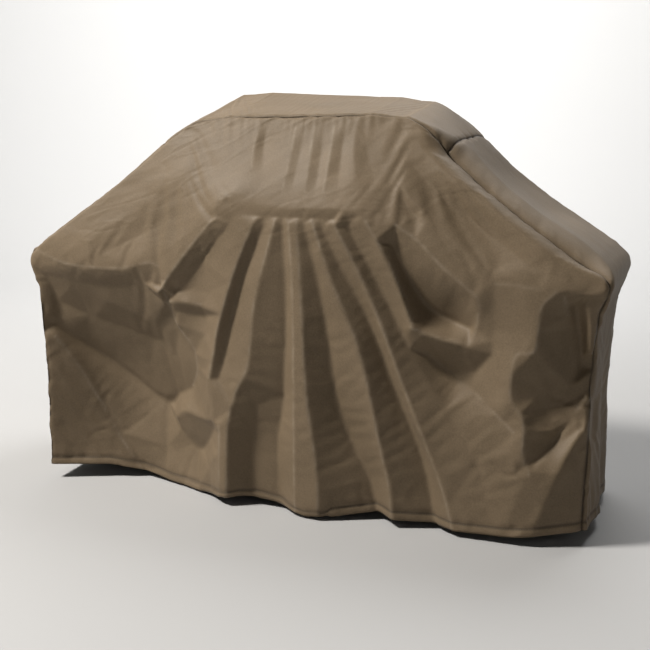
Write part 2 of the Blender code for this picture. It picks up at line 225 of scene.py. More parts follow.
# Crease lines of the front: x and z in metres, then how far the fabric stands out there, in mm.
# Between the creases the fabric is nearly flat.
FRONT_FOLDS = {
    "handle crest": [(-0.16, 0.848, 1), (-0.05, 0.838, 2), (0.06, 0.832, 3), (0.14, 0.832, 5),
        (0.2, 0.824, 6)],
    "under handle": [(-0.14, 0.815, -3), (-0.05, 0.808, -3), (0.06, 0.806, -2), (0.14, 0.804, -3)],
    "centre ridge": [(0.042, 0.8, 3), (0.055, 0.6, 10), (0.06, 0.5, 14), (0.065, 0.4, 17), (0.075, 0.3, 20),
        (0.09, 0.2, 23), (0.1, 0.1, 26), (0.1, 0.0, 27)],
    "centre streak": [(0.02, 0.79, 3), (0.026, 0.68, 4), (0.03, 0.5, 8), (0.03, 0.3, 14), (0.03, 0.1, 18),
        (0.03, 0.0, 18)],
    "right valley 1": [(0.062, 0.79, -2), (0.088, 0.68, -8), (0.104, 0.6, -12), (0.118, 0.5, -17),
        (0.128, 0.4, -21), (0.145, 0.3, -26), (0.18, 0.2, -30), (0.225, 0.1, -34), (0.245, 0.0, -36)],
    "right ridge 1": [(0.085, 0.8, 4), (0.125, 0.68, 6), (0.158, 0.6, 8), (0.203, 0.5, 10),
        (0.232, 0.4, 12), (0.252, 0.3, 12), (0.272, 0.2, 10), (0.292, 0.1, 6), (0.3, 0.0, 4)],
    "right valley 2": [(0.108, 0.79, -3), (0.165, 0.67, -12), (0.205, 0.6, -17), (0.25, 0.5, -22),
        (0.285, 0.4, -26), (0.325, 0.3, -29), (0.365, 0.2, -31), (0.39, 0.1, -31), (0.405, 0.0, -30)],
    "right ridge 2": [(0.14, 0.8, 4), (0.195, 0.7, 6), (0.235, 0.62, 7), (0.285, 0.5, 9), (0.322, 0.4, 10),
        (0.362, 0.3, 10), (0.402, 0.2, 9), (0.44, 0.1, 8), (0.465, 0.0, 6)],
    "right valley 3": [(0.18, 0.78, -8), (0.225, 0.7, -12), (0.262, 0.63, -14), (0.33, 0.5, -14),
        (0.372, 0.42, -14), (0.435, 0.32, -14), (0.52, 0.2, -6)],
    "right ridge 3": [(0.225, 0.8, 6), (0.262, 0.74, 6), (0.305, 0.66, 7), (0.33, 0.6, 8), (0.35, 0.54, 8)],
    "hem right": [(0.56, 0.0, 4), (0.62, 0.0, 6)],
    "left valley": [(0.002, 0.792, -3), (0.004, 0.7, -6), (0.006, 0.6, -9), (0.002, 0.5, -12),
        (-0.006, 0.4, -16), (-0.015, 0.3, -21), (-0.035, 0.2, -26), (-0.035, 0.1, -22), (-0.03, 0.0, -18)],
    "left ridge 1": [(-0.018, 0.798, 3), (-0.04, 0.72, 5), (-0.062, 0.65, 7), (-0.085, 0.55, 9),
        (-0.092, 0.48, 10), (-0.105, 0.4, 11), (-0.14, 0.33, 12), (-0.165, 0.24, 17), (-0.172, 0.1, 20),
        (-0.178, 0.0, 20)],
    "left dark crease": [(-0.09, 0.29, -12), (-0.105, 0.2, -20), (-0.11, 0.1, -20), (-0.11, 0.0, -18)],
    "left ridge 1 foot": [(-0.195, 0.23, 12), (-0.2, 0.1, 13), (-0.205, 0.0, 12)],
    "left valley 2": [(-0.046, 0.795, -4), (-0.08, 0.73, -8), (-0.118, 0.65, -10), (-0.153, 0.55, -12),
        (-0.168, 0.5, -12), (-0.183, 0.43, -10), (-0.2, 0.36, -6)],
    "left ridge 2": [(-0.075, 0.8, 3), (-0.108, 0.73, 5), (-0.142, 0.65, 6), (-0.178, 0.55, 7),
        (-0.195, 0.5, 7), (-0.21, 0.43, 6), (-0.228, 0.36, 4)],
    "left valley 3": [(-0.15, 0.79, -6), (-0.215, 0.72, -13), (-0.285, 0.64, -18), (-0.345, 0.58, -16)],
    "left ridge 3": [(-0.195, 0.8, 3), (-0.25, 0.745, 6), (-0.325, 0.66, 7), (-0.385, 0.59, 2)],
    "shelf edge left": [(-0.79, 0.69, 2), (-0.7, 0.658, 4), (-0.6, 0.648, 5), (-0.5, 0.65, 5),
        (-0.42, 0.668, 3), (-0.385, 0.66, 0)],
    "under shelf left": [(-0.765, 0.625, -12), (-0.69, 0.605, -18), (-0.6, 0.6, -20), (-0.5, 0.602, -20),
        (-0.42, 0.615, -14)],
    "hollow edge left": [(-0.378, 0.62, -8), (-0.366, 0.545, -30), (-0.352, 0.49, -44), (-0.3, 0.43, -40),
        (-0.3, 0.36, -54), (-0.33, 0.31, -78)],
    "hollow rim left": [(-0.765, 0.475, -22), (-0.685, 0.405, -80), (-0.6, 0.33, -114),
        (-0.52, 0.268, -128), (-0.445, 0.23, -130), (-0.4, 0.268, -114), (-0.34, 0.3, -84)],
    "hollow middle left": [(-0.66, 0.5, -58), (-0.56, 0.47, -72), (-0.46, 0.44, -82), (-0.38, 0.42, -72)],
    "hollow crease left": [(-0.58, 0.552, -34), (-0.5, 0.52, -48), (-0.42, 0.47, -62)],
    "facet top": [(-0.335, 0.6, -20), (-0.285, 0.602, -19), (-0.225, 0.598, -14)],
    "facet ridge": [(-0.375, 0.558, -18), (-0.32, 0.568, -8), (-0.255, 0.56, -12)],
    "facet foot": [(-0.35, 0.54, -24), (-0.3, 0.535, -26), (-0.245, 0.53, -26)],
    "facet low": [(-0.345, 0.495, -32), (-0.29, 0.49, -28), (-0.235, 0.48, -16)],
    "patch crest": [(-0.395, 0.205, -86), (-0.345, 0.238, -56), (-0.27, 0.232, -28), (-0.215, 0.235, 4)],
    "patch foot": [(-0.385, 0.165, -96), (-0.325, 0.115, -86), (-0.285, 0.135, -68), (-0.235, 0.195, -28)],
    "hem left": [(-0.445, 0.1, -106), (-0.44, 0.0, -92), (-0.37, 0.0, -72), (-0.305, 0.0, -50),
        (-0.255, 0.0, -26)],
    "shade ridge right": [(0.3, 0.792, 8), (0.36, 0.75, 8), (0.42, 0.692, 7), (0.48, 0.645, 6),
        (0.512, 0.612, 0), (0.508, 0.57, -14), (0.5, 0.54, -26)],
    "shade valley right": [(0.29, 0.745, -14), (0.332, 0.65, -34), (0.372, 0.585, -50), (0.43, 0.552, -56),
        (0.48, 0.54, -42)],
    "second shade top": [(0.345, 0.537, 6), (0.41, 0.515, 0), (0.485, 0.498, -14)],
    "second shade foot": [(0.378, 0.47, -34), (0.43, 0.42, -50), (0.47, 0.398, -44), (0.505, 0.44, -36)],
    "right plateau": [(0.545, 0.6, -6), (0.545, 0.5, -18), (0.555, 0.42, -16), (0.585, 0.36, -2)],
    "thin crease": [(0.505, 0.37, -32), (0.55, 0.335, -16), (0.605, 0.29, -4)],
    "shelf edge right": [(0.55, 0.655, 4), (0.62, 0.652, 5), (0.68, 0.645, 5)],
    "hollow edge right": [(0.695, 0.642, 5), (0.662, 0.6, 4), (0.652, 0.5, 3), (0.606, 0.48, 2),
        (0.596, 0.38, 0), (0.628, 0.325, 2), (0.632, 0.235, 6), (0.648, 0.19, 6)],
    "hollow top right": [(0.735, 0.652, 4), (0.78, 0.668, 0), (0.806, 0.645, -4)],
    "hollow wedge right": [(0.715, 0.632, -4), (0.722, 0.585, -26)],
    "hollow strip right": [(0.762, 0.63, -10), (0.776, 0.56, -30), (0.776, 0.5, -48)],
    "hollow floor right": [(0.738, 0.605, -40), (0.744, 0.54, -66), (0.752, 0.475, -80),
        (0.752, 0.445, -82)],
    "hollow band right": [(0.655, 0.378, -26), (0.712, 0.402, -56), (0.762, 0.432, -62)],
    "hollow low right": [(0.672, 0.345, -44), (0.722, 0.36, -71), (0.762, 0.395, -66)],
    "hollow rim right": [(0.662, 0.212, -14), (0.7, 0.265, -46), (0.744, 0.332, -58), (0.77, 0.375, -50)],
    "corner crease right": [(0.755, 0.29, -38), (0.722, 0.2, -12), (0.69, 0.1, -2), (0.655, 0.0, 0)],
    "upper streak 1": [(0.05, 1.035, 0), (0.052, 0.98, 2), (0.055, 0.92, 3), (0.058, 0.87, 1)],
    "upper gap 1": [(0.075, 1.035, 0), (0.08, 0.98, -2), (0.083, 0.92, -2), (0.085, 0.87, 0)],
    "upper streak 2": [(0.105, 1.035, 0), (0.107, 0.98, 2), (0.108, 0.92, 3), (0.108, 0.87, 1)],
    "upper gap 2": [(0.135, 1.035, 0), (0.136, 0.98, -3), (0.14, 0.92, -3), (0.15, 0.86, 0)],
    "upper streak 3": [(-0.002, 1.03, 0), (-0.002, 0.97, 2), (-0.004, 0.91, 2), (-0.006, 0.87, 0)],
    "upper gap 3": [(0.022, 1.03, 0), (0.022, 0.97, -1), (0.02, 0.91, -1), (0.02, 0.87, 0)],
    "slope ridge right": [(0.36, 0.96, 0), (0.43, 0.9, 9), (0.53, 0.835, 12), (0.64, 0.757, 9),
        (0.7, 0.715, 3)],
    "slope valley right": [(0.31, 0.95, -3), (0.38, 0.875, -11), (0.47, 0.81, -15), (0.57, 0.745, -13),
        (0.63, 0.7, -5)],
    "slope ridge 2 right": [(0.25, 0.95, 0), (0.33, 0.86, 6), (0.41, 0.79, 8), (0.49, 0.72, 6)],
    "slope valley 2 right": [(0.27, 0.89, -3), (0.31, 0.85, -5), (0.35, 0.815, -2)],
    "slope ridge left": [(-0.24, 0.97, 0), (-0.36, 0.885, 4), (-0.52, 0.78, 6), (-0.66, 0.71, 4)],
    "slope valley left": [(-0.22, 0.9, -3), (-0.33, 0.82, -7), (-0.47, 0.735, -6), (-0.56, 0.695, -2)],
    "left corner seam": [(-0.82, 0.65, 0), (-0.798, 0.56, 4), (-0.785, 0.45, 4), (-0.78, 0.3, 4),
        (-0.78, 0.15, 3), (-0.78, 0.0, 0)],
    "right corner seam": [(0.82, 0.65, -6), (0.797, 0.56, -46), (0.784, 0.45, -76), (0.78, 0.36, -62),
        (0.78, 0.2, -54), (0.78, 0.0, -44)],
    "handle arch left": [(-0.2, 0.8, 0), (-0.185, 0.84, 5), (-0.15, 0.866, 5), (-0.105, 0.862, 3)],
    "upper crease left": [(-0.085, 1.045, 0), (-0.088, 1.0, -4), (-0.082, 0.955, -3), (-0.07, 0.92, 0)],
    "upper ridge left": [(-0.105, 1.04, 1), (-0.112, 0.99, 2), (-0.108, 0.93, 1)],
    "upper crease right": [(0.165, 1.045, 0), (0.17, 0.98, 3), (0.185, 0.92, 3), (0.215, 0.87, 1)],
    "upper valley right": [(0.19, 1.03, -1), (0.205, 0.97, -3), (0.235, 0.9, -4)],
    "band edge left": [(-0.752, 0.435, -12), (-0.7, 0.35, -42), (-0.655, 0.25, -68), (-0.6, 0.13, -92),
        (-0.52, 0.0, -110)],
    "patch side": [(-0.225, 0.12, -4), (-0.255, 0.08, -30)],
    "left corner valley": [(-0.762, 0.6, -18), (-0.748, 0.54, -32), (-0.744, 0.485, -34)],
}

# Fold lines of the back, in the same way; here too a positive depth stands out from the wall.
BACK_FOLDS = {
    "hood edge": [(-0.3, 1.0, 2), (0.0, 1.0, 4), (0.3, 1.0, 2)],
    "centre valley": [(0.03, 0.93, -4), (0.05, 0.6, -18), (0.02, 0.3, -28), (0.04, 0.0, -36)],
    "ridge 1": [(-0.06, 0.95, 2), (-0.09, 0.6, 4), (-0.12, 0.3, 7), (-0.11, 0.0, 10)],
    "valley 1": [(-0.16, 0.92, -5), (-0.2, 0.6, -20), (-0.25, 0.3, -34), (-0.24, 0.0, -42)],
    "ridge 2": [(-0.3, 0.92, 3), (-0.4, 0.66, 6), (-0.47, 0.35, 8), (-0.5, 0.0, 10)],
    "ridge 3": [(0.16, 0.95, 2), (0.2, 0.6, 6), (0.23, 0.3, 10), (0.22, 0.0, 12)],
    "valley 3": [(0.24, 0.9, -5), (0.3, 0.6, -20), (0.33, 0.3, -32), (0.34, 0.0, -38)],
    "drag right": [(0.28, 0.98, -1), (0.42, 0.86, -7), (0.56, 0.77, -4)],
    "drag left": [(-0.28, 0.98, -1), (-0.44, 0.85, -8), (-0.58, 0.76, -4)],
    "ridge 4": [(0.33, 0.92, 3), (0.46, 0.66, 6), (0.52, 0.35, 7), (0.54, 0.0, 9)],
    "shelf edge left": [(-0.78, 0.67, 0), (-0.62, 0.655, 4), (-0.48, 0.665, 3)],
    "shelf edge right": [(0.78, 0.67, 0), (0.62, 0.655, 4), (0.5, 0.665, 3)],
    "hollow left": [(-0.74, 0.57, -20), (-0.68, 0.46, -42), (-0.61, 0.32, -44), (-0.6, 0.12, -24),
        (-0.61, 0.0, -20)],
    "hollow right": [(0.73, 0.57, -18), (0.67, 0.46, -40), (0.62, 0.3, -46), (0.62, 0.12, -28),
        (0.64, 0.0, -22)],
    "left corner seam": [(-0.818, 0.645, 0), (-0.785, 0.4, -10), (-0.78, 0.2, -18), (-0.78, 0.0, -26)],
    "right corner seam": [(0.818, 0.645, 0), (0.785, 0.4, -10), (0.78, 0.2, -18), (0.78, 0.0, -26)],
}

# Fold lines of the side gussets below the shelf: y, z and depth. Near the straps they only
# stand out, so that the fabric stays clear of them.
GUSSET_FOLDS = {
    "front ridge": [(-0.11, 0.58, 4), (-0.09, 0.3, 12), (-0.08, 0.0, 18)],
    "middle valley": [(0.02, 0.6, -2), (0.03, 0.3, 0), (0.03, 0.0, 2)],
    "back ridge": [(0.12, 0.56, 3), (0.1, 0.3, 9), (0.11, 0.0, 14)],
    "front wall": [(-0.22, 0.55, 0), (-0.21, 0.25, 2), (-0.2, 0.0, 3)],
    "back wall": [(0.24, 0.55, 0), (0.24, 0.25, 2), (0.23, 0.0, 3)],
    "under shelf": [(-0.15, 0.62, -3), (0.0, 0.62, -5), (0.15, 0.62, -3)],
}

# Height of the front and back hems over the floor: x, then the height, both in metres
FRONT_HEM = [
    (-0.79, 0.048), (-0.62, 0.046), (-0.52, 0.026), (-0.42, 0.012), (-0.30, 0.012), (-0.145, 0.034),
    (0.06, 0.010), (0.26, 0.032), (0.42, 0.022), (0.60, 0.026), (0.79, 0.048),
]
BACK_HEM = [(-0.79, 0.042), (-0.50, 0.022), (-0.15, 0.013), (0.10, 0.026), (0.40, 0.012), (0.79, 0.038)]


def blend(start, end, share):
    return start + (end - start) * share


def smooth_share(value, start, end):
    share = np.clip((value - start) / (end - start), 0.0, 1.0)
    return share * share * (3.0 - 2.0 * share)


def softened(first, second, radius):
    """The smaller of two values, rounded over where they cross."""
    share = np.clip(0.5 + 0.5 * (second - first) / radius, 0.0, 1.0)
    return blend(second, first, share) - radius * share * (1.0 - share)


def wall_reach(z):
    """Distance from the middle to the front or back wall, at the wall's edges."""
    low = HALF_DEPTH - SHELF_LEAN * z / SHELF_TOP
    slope = (HALF_DEPTH - SHELF_LEAN - HOOD_HALF_DEPTH) / (TOP_Z - SHELF_TOP)
    high = HALF_DEPTH - SHELF_LEAN - slope * (z - SHELF_TOP)
    return softened(low, high, SHELF_ROUND)


def front_reach(x, z):
    """Distance of the front wall, with the ridge over the hood's handle."""
    edge = wall_reach(z)
    below = blend(HALF_DEPTH, HANDLE_REACH, z / HANDLE_Z)
    above = blend(HANDLE_REACH, HOOD_HALF_DEPTH, (z - HANDLE_Z) / (TOP_Z - HANDLE_Z))
    tent = softened(below, above, RIDGE_ROUND)
    over_handle = 1.0 - smooth_share(np.abs(x), HANDLE_FLAT_X, HANDLE_END_X)
    return blend(edge, np.maximum(edge, tent), over_handle)


def hood_rise(x, share):
    """How far the top lies over its front seam, at a share of the way to its rear seam."""
    over_hood = 1.0 - smooth_share(np.abs(x), TOP_CORNER_X, HOOD_FOOT_X)
    rise = np.interp(share, [0.0, CROWN_SHARE, 1.0], [0.0, HOOD_RISE, REAR_RISE])
    return over_hood * rise


def hood_lean(x):
    """How much of its rise the top has at x: the cover sits a little higher on the left."""
    return np.interp(x, [-TOP_CORNER_X, TOP_CORNER_X], [LEAN_LEFT, LEAN_RIGHT])


def smooth_curve(points, step=None, cells=None):
    """Points an even step apart, in their first two numbers, on a smooth curve."""
    p = np.array(points, float)
    p = np.vstack([2 * p[0] - p[1], p, 2 * p[-1] - p[-2]])
    fine = []
    for i in range(1, len(p) - 2):
        for t in np.linspace(0.0, 1.0, 20, endpoint=False):
            fine.append(0.5 * (2 * p[i] + (p[i + 1] - p[i - 1]) * t
                               + (2 * p[i - 1] - 5 * p[i] + 4 * p[i + 1] - p[i + 2]) * t ** 2
                               + (3 * p[i] - p[i - 1] - 3 * p[i + 1] + p[i + 2]) * t ** 3))
    fine = np.array(fine + [p[-2]])
    steps = np.linalg.norm(np.diff(fine[:, :2], axis=0), axis=1)
    along = np.concatenate([[0.0], np.cumsum(steps)])
    count = cells + 1 if cells else max(2, round(along[-1] / step) + 1)
    wanted = np.linspace(0.0, along[-1], count)
    return np.stack([np.interp(wanted, along, fine[:, k]) for k in range(fine.shape[1])], axis=1)


def crease_points(folds, still, gain):
    """Points along the crease lines with their depths in metres, and the still points with 0."""
    samples = [(x, z, 0.0) for x, z in still]
    for line in folds.values():
        samples += [tuple(point) for point in smooth_curve(line, CREASE_STEP)]
    places = {}
    for x, z, depth in samples:
        places.setdefault((round(x / SAME_PLACE), round(z / SAME_PLACE)), (x, z, 0.001 * gain * depth))
    return np.array(list(places.values()))


def draw_triangle(raster, corners, depths):
    """Draws a flat triangle into the map; its corners are in cells."""
    (x0, z0), (x1, z1), (x2, z2) = corners
    i = np.arange(math.ceil(min(x0, x1, x2)), math.floor(max(x0, x1, x2)) + 1)[:, None]
    j = np.arange(math.ceil(min(z0, z1, z2)), math.floor(max(z0, z1, z2)) + 1)[None]
    whole = (x1 - x0) * (z2 - z0) - (x2 - x0) * (z1 - z0)
    if abs(whole) < 1e-9 or not i.size or not j.size:
        return
    b = ((i - x0) * (z2 - z0) - (x2 - x0) * (j - z0)) / whole
    c = ((x1 - x0) * (j - z0) - (i - x0) * (z1 - z0)) / whole
    inside = (b > -1e-6) & (c > -1e-6) & (b + c < 1.0 + 1e-6)
    d0, d1, d2 = depths
    window = raster[i[0, 0]:i[-1, 0] + 1, j[0, 0]:j[0, -1] + 1]
    window[inside] = (d0 + b * (d1 - d0) + c * (d2 - d0))[inside]


def fold_surface(folds, still, gain):
    """A function of x and z: the depth between crease lines, and 0 at the still points.

    The creases are joined by flat triangles, then rounded over by a few millimetres.
    """
    points = crease_points(folds, still, gain)
    flat = [Vector(p[:2]) for p in points]
    corners, _, triangles, origin, _, _ = delaunay_2d_cdt(flat, [], [], 0, 1e-7)
    depths = np.array([points[source[0], 2] for source in origin])
    corners = np.array([tuple(corner) for corner in corners])
    low = np.array(MAP_LOW)
    size = (int(MAP_SPAN[0] / RASTER) + 1, int(MAP_SPAN[1] / RASTER) + 1)
    raster = np.full(size, np.nan)
    for triangle in triangles:
        draw_triangle(raster, (corners[list(triangle)] - low) / RASTER, depths[list(triangle)])
    known = ~np.isnan(raster)
    raster = np.where(known, raster, 0.0)
    for _ in range(MAP_MARGIN):
        near = neighbours(raster)
        weight = neighbours(known.astype(float))
        fresh = ~known & (weight > 0.0)
        raster[fresh] = near[fresh] / weight[fresh]
        known |= fresh
    for _ in range(ROUNDING_PASSES):
        raster = 0.5 * raster + 0.125 * neighbours(raster)

    def depth(x, z):
        i = np.clip((np.asarray(x) - low[0]) / RASTER, 0, size[0] - 1.001)
        j = np.clip((np.asarray(z) - low[1]) / RASTER, 0, size[1] - 1.001)
        i0 = i.astype(int)
        j0 = j.astype(int)
        a = blend(raster[i0, j0], raster[i0 + 1, j0], i - i0)
        b = blend(raster[i0, j0 + 1], raster[i0 + 1, j0 + 1], i - i0)
        return blend(a, b, j - j0)

    return depth


def crest_sheen_and_wear_mask(folds, x, z):
    """1 on the raised fold lines, where the painted highlight lies (it also stands for rubbed wear), fading
    to 0 a little beside them.
    """
    points = []
    for name, line in folds.items():
        if any(word in name for word in SHEEN_AND_WEAR_LINES) and "slope" not in name:
            points += [(px, pz, 0.0) for px, pz, _ in smooth_curve(line, SHEEN_AND_WEAR_STEP)]
    tree = KDTree(len(points))
    for number, point in enumerate(points):
        tree.insert(point, number)
    tree.balance()
    distance = np.array([tree.find((a, b, 0.0))[2] for a, b in zip(x.ravel(), z.ravel())])
    return np.clip(1.0 - distance.reshape(x.shape) / SHEEN_AND_WEAR_REACH, 0.0, 1.0)


def neighbours(field):
    """The sum of each cell's four neighbours; the edge cells stand in for what lies outside."""
    padded = np.pad(field, 1, mode="edge")
    return padded[:-2, 1:-1] + padded[2:, 1:-1] + padded[1:-1, :-2] + padded[1:-1, 2:]


def top_height(x):
    """Height of the top front seam at x."""
    share = np.clip((TOP_CORNER_X - np.abs(x)) / (TOP_CORNER_X - TOP_FLAT_X), 0.0, 1.0)
    return blend(TOP_CORNER_Z, TOP_Z, share)


def hem_lift(x, z, heights):
    """How much the wavy hem raises a point; it dies out going up."""
    at = np.array(heights)
    hem = np.interp(x, at[:, 0], at[:, 1])
    return hem * np.clip(1.0 - z / HEM_REACH, 0.0, 1.0) ** 1.5


def still_points():
    """The top seam and the upper side seams, where the walls have no folds."""
    points = [(x, z) for x, z in smooth_curve(SIDE_OUTLINE, 0.03) if z > SHELF_TOP - 0.03]
    points += [(-x, z) for x, z in points]
    points += [(x, float(top_height(x))) for x in np.linspace(-0.28, 0.28, 18)]
    return points


def wall_grid(sides, columns, is_front):
    """The points of the front or back wall, one row for each height of the side outline."""
    across = np.linspace(-1.0, 1.0, columns)
    x = sides[:, :1] * across
    row_z = np.repeat(sides[:, 1:], columns, axis=1)
    near_top = smooth_share(row_z, 0.95, TOP_CORNER_Z)
    z = row_z + (top_height(x) - TOP_CORNER_Z) * near_top
    folds = FRONT_FOLDS if is_front else BACK_FOLDS
    depth = fold_surface(folds, still_points(), FRONT_GAIN if is_front else BACK_GAIN)(x, z)
    if is_front:
        y = MIDDLE_Y - front_reach(x, row_z) - depth
        z = z + hem_lift(x, z, FRONT_HEM)
    else:
        y = MIDDLE_Y + wall_reach(row_z) + depth
        z = z + hood_rise(sides[:, :1], 1.0) * hood_lean(x) + hem_lift(x, z, BACK_HEM)
    return np.stack([x, y, z], axis=2)


def rim_of(grid):
    """The wall's edge from the left hem over the top to the right hem."""
    return np.concatenate([grid[:-1, 0], grid[-1], grid[-2::-1, -1]])


def gusset_grid(sides, columns, cells, front_rim, back_rim):
    """The gusset's points: one row along the outline for each share from front to back."""
    shares = np.linspace(0.0, 1.0, cells + 1)
    x_front = front_rim[:, 0]
    height = np.concatenate([sides[:-1, 1], np.full(columns, TOP_CORNER_Z), sides[-2::-1, 1]])
    still = [(y, z) for y in (-HALF_DEPTH, HALF_DEPTH) for z in np.linspace(0.0, 0.78, 9)]
    still += [(0.0, 0.72), (0.0, 0.78)]
    folds = fold_surface(GUSSET_FOLDS, still, GUSSET_GAIN)
    rows = []
    for share in shares:
        point = blend(front_rim, back_rim, share)
        level = (hood_rise(x_front, share) - share * hood_rise(x_front, 1.0)) * hood_lean(x_front)
        between = 4.0 * share * (1.0 - share)
        slope = smooth_share(height, 0.76, 0.84) * (1.0 - smooth_share(height, 0.90, 0.98))
        point[:, 2] += level - SLOPE_SAG * slope * between
        under = (1.0 - smooth_share(height, 0.60, 0.70)) * min(1.0, 3.0 * between)
        point[:, 0] += np.sign(x_front) * under * folds(point[:, 1] - MIDDLE_Y, height)
        rows.append(point)
    return np.array(rows)


class Sewn:
    """The whole cover as laid out, in one mesh, with the place of every panel's points in it."""

    def __init__(self, detail):
        sides = smooth_curve(SIDE_OUTLINE, cells=detail * ROW_CELLS)
        sides[:, 1] = np.maximum.accumulate(sides[:, 1])
        across = detail * COLUMNS + 1
        front = wall_grid(sides, across, True)
        back = wall_grid(sides, across, False)
        gusset = gusset_grid(sides, across, detail * GUSSET_CELLS, rim_of(front), rim_of(back))
        rows, columns = front.shape[:2]
        self.front = np.arange(rows * columns).reshape(rows, columns)
        self.back = self.front + rows * columns
        inner = gusset[1:-1]
        start = 2 * rows * columns
        inner_index = start + np.arange(inner.shape[0] * inner.shape[1]).reshape(inner.shape[:2])
        self.gusset = np.vstack([rim_of(self.front[..., None])[:, 0], inner_index,
                                 rim_of(self.back[..., None])[:, 0]])
        self.points = np.vstack([front.reshape(-1, 3), back.reshape(-1, 3), inner.reshape(-1, 3)])
        self.rows = rows
        self.cross = int(np.argmin(np.abs(sides[:, 0] - CROSS_SEAM_X) + (sides[:, 1] < 0.9)))

    def hold_weights(self):
        """How firmly each point is held to its laid-out place: seams more than open fabric."""
        weights = np.full(len(self.points), HOLD_OPEN)
        weights[rim_of(self.front[..., None])[:, 0]] = HOLD_SEAM
        weights[rim_of(self.back[..., None])[:, 0]] = HOLD_SEAM
        return np.round(blend(weights, HOLD_CORNER, self.at_hood_ends()), 2)

    def at_hood_ends(self):
        """1 around the ends of the hood, whose corners hold the fabric, and 0 away from them."""
        x = np.abs(self.points[:, 0])
        beside = smooth_share(x, 0.28, 0.36) * (1.0 - smooth_share(x, 0.48, 0.56))
        return beside * smooth_share(self.points[:, 2], 0.86, 0.94)

    def faces(self):
        return np.vstack([quads(self.front), quads(self.back)[:, ::-1], quads(self.gusset)])


def quads(index):
    """The faces of a grid of point numbers."""
    corners = (index[:-1, :-1], index[:-1, 1:], index[1:, 1:], index[1:, :-1])
    return np.stack([corner.ravel() for corner in corners], axis=1)


def new_mesh(name, points, faces):
    mesh = bpy.data.meshes.new(name)
    mesh.from_pydata([tuple(p) for p in points], [], [tuple(int(i) for i in f) for f in faces])
    mesh.update()
    result = bpy.data.objects.new(name, mesh)
    bpy.context.scene.collection.objects.link(result)
    return result


# The hidden grill that holds the cover up while it settles

def solid_collider(name, points, rounding=0.0):
    """The convex solid around the points, as a collision object."""
    bm = bmesh.new()
    for point in points:
        bm.verts.new(point)
    bmesh.ops.convex_hull(bm, input=bm.verts[:])
    inner = [item for item in bm.verts if not item.link_faces]
    bmesh.ops.delete(bm, geom=inner, context="VERTS")
    if rounding:
        bmesh.ops.bevel(bm, geom=bm.edges[:], offset=rounding, segments=3, affect="EDGES", profile=0.5)
    bmesh.ops.triangulate(bm, faces=bm.faces[:])
    bmesh.ops.recalc_face_normals(bm, faces=bm.faces[:])
    mesh = bpy.data.meshes.new(name)
    bm.to_mesh(mesh)
    bm.free()
    piece = bpy.data.objects.new(name, mesh)
    bpy.context.scene.collection.objects.link(piece)
    piece.modifiers.new("Collision", "COLLISION")
    for key, value in COLLISION.items():
        setattr(piece.collision, key, value)
    return piece


def box_corners(low, high):
    return [(x, y, z) for x in (low[0], high[0]) for y in (low[1], high[1]) for z in (low[2], high[2])]


def hood_corners():
    """The hidden hood's corners, which follow the rise and lean of the top."""
    corners = []
    for sign in (-1.0, 1.0):
        for x, z in HOOD_POINTS:
            reach = float(wall_reach(z)) - HOOD_INSET
            lean = float(hood_lean(sign * x)) if z > 0.9 else 0.0
            rise = float(hood_rise(x, CROWN_SHARE)) * lean
            rear = float(hood_rise(x, 1.0)) * lean
            crown_y = blend(-reach, reach, CROWN_SHARE)
            corners.append((sign * x, MIDDLE_Y - reach, z - 0.002))
            corners.append((sign * x, MIDDLE_Y + reach, z + rear - 0.003))
            corners.append((sign * x, MIDDLE_Y + crown_y, z + rise - 0.001))
    return corners


def add_grill():
    """The hood, its handle, the side shelves and the places where the straps hang."""
    parts = [solid_collider("hood", hood_corners(), 0.010)]
    ring = []
    for x in HANDLE_XS:
        y = MIDDLE_Y - float(front_reach(x, HANDLE_Z)) + HANDLE_INSET
        for step in range(12):
            angle = math.tau * step / 12
            out = HANDLE_RADIUS * math.cos(angle)
            ring.append((x, y + out, HANDLE_Z + HANDLE_RADIUS * math.sin(angle)))
    parts.append(solid_collider("handle", ring))
    x_in, x_out, half, z_low, z_high = STRAP_SPACE
    for sign in (-1.0, 1.0):
        reach = float(wall_reach(0.66)) - SHELF_INSET
        ends = sorted(sign * x for x in SHELF_XS)
        low = (ends[0], MIDDLE_Y - reach, SHELF_ZS[0])
        high = (ends[1], MIDDLE_Y + reach, SHELF_ZS[1])
        parts.append(solid_collider("shelf", box_corners(low, high), 0.014))
        for y in (-STRAP_Y, STRAP_Y):
            ends = sorted((sign * x_in, sign * x_out))
            low = (ends[0], MIDDLE_Y + y - half, z_low)
            high = (ends[1], MIDDLE_Y + y + half, z_high)
            parts.append(solid_collider("strap space", box_corners(low, high), 0.004))
    return parts


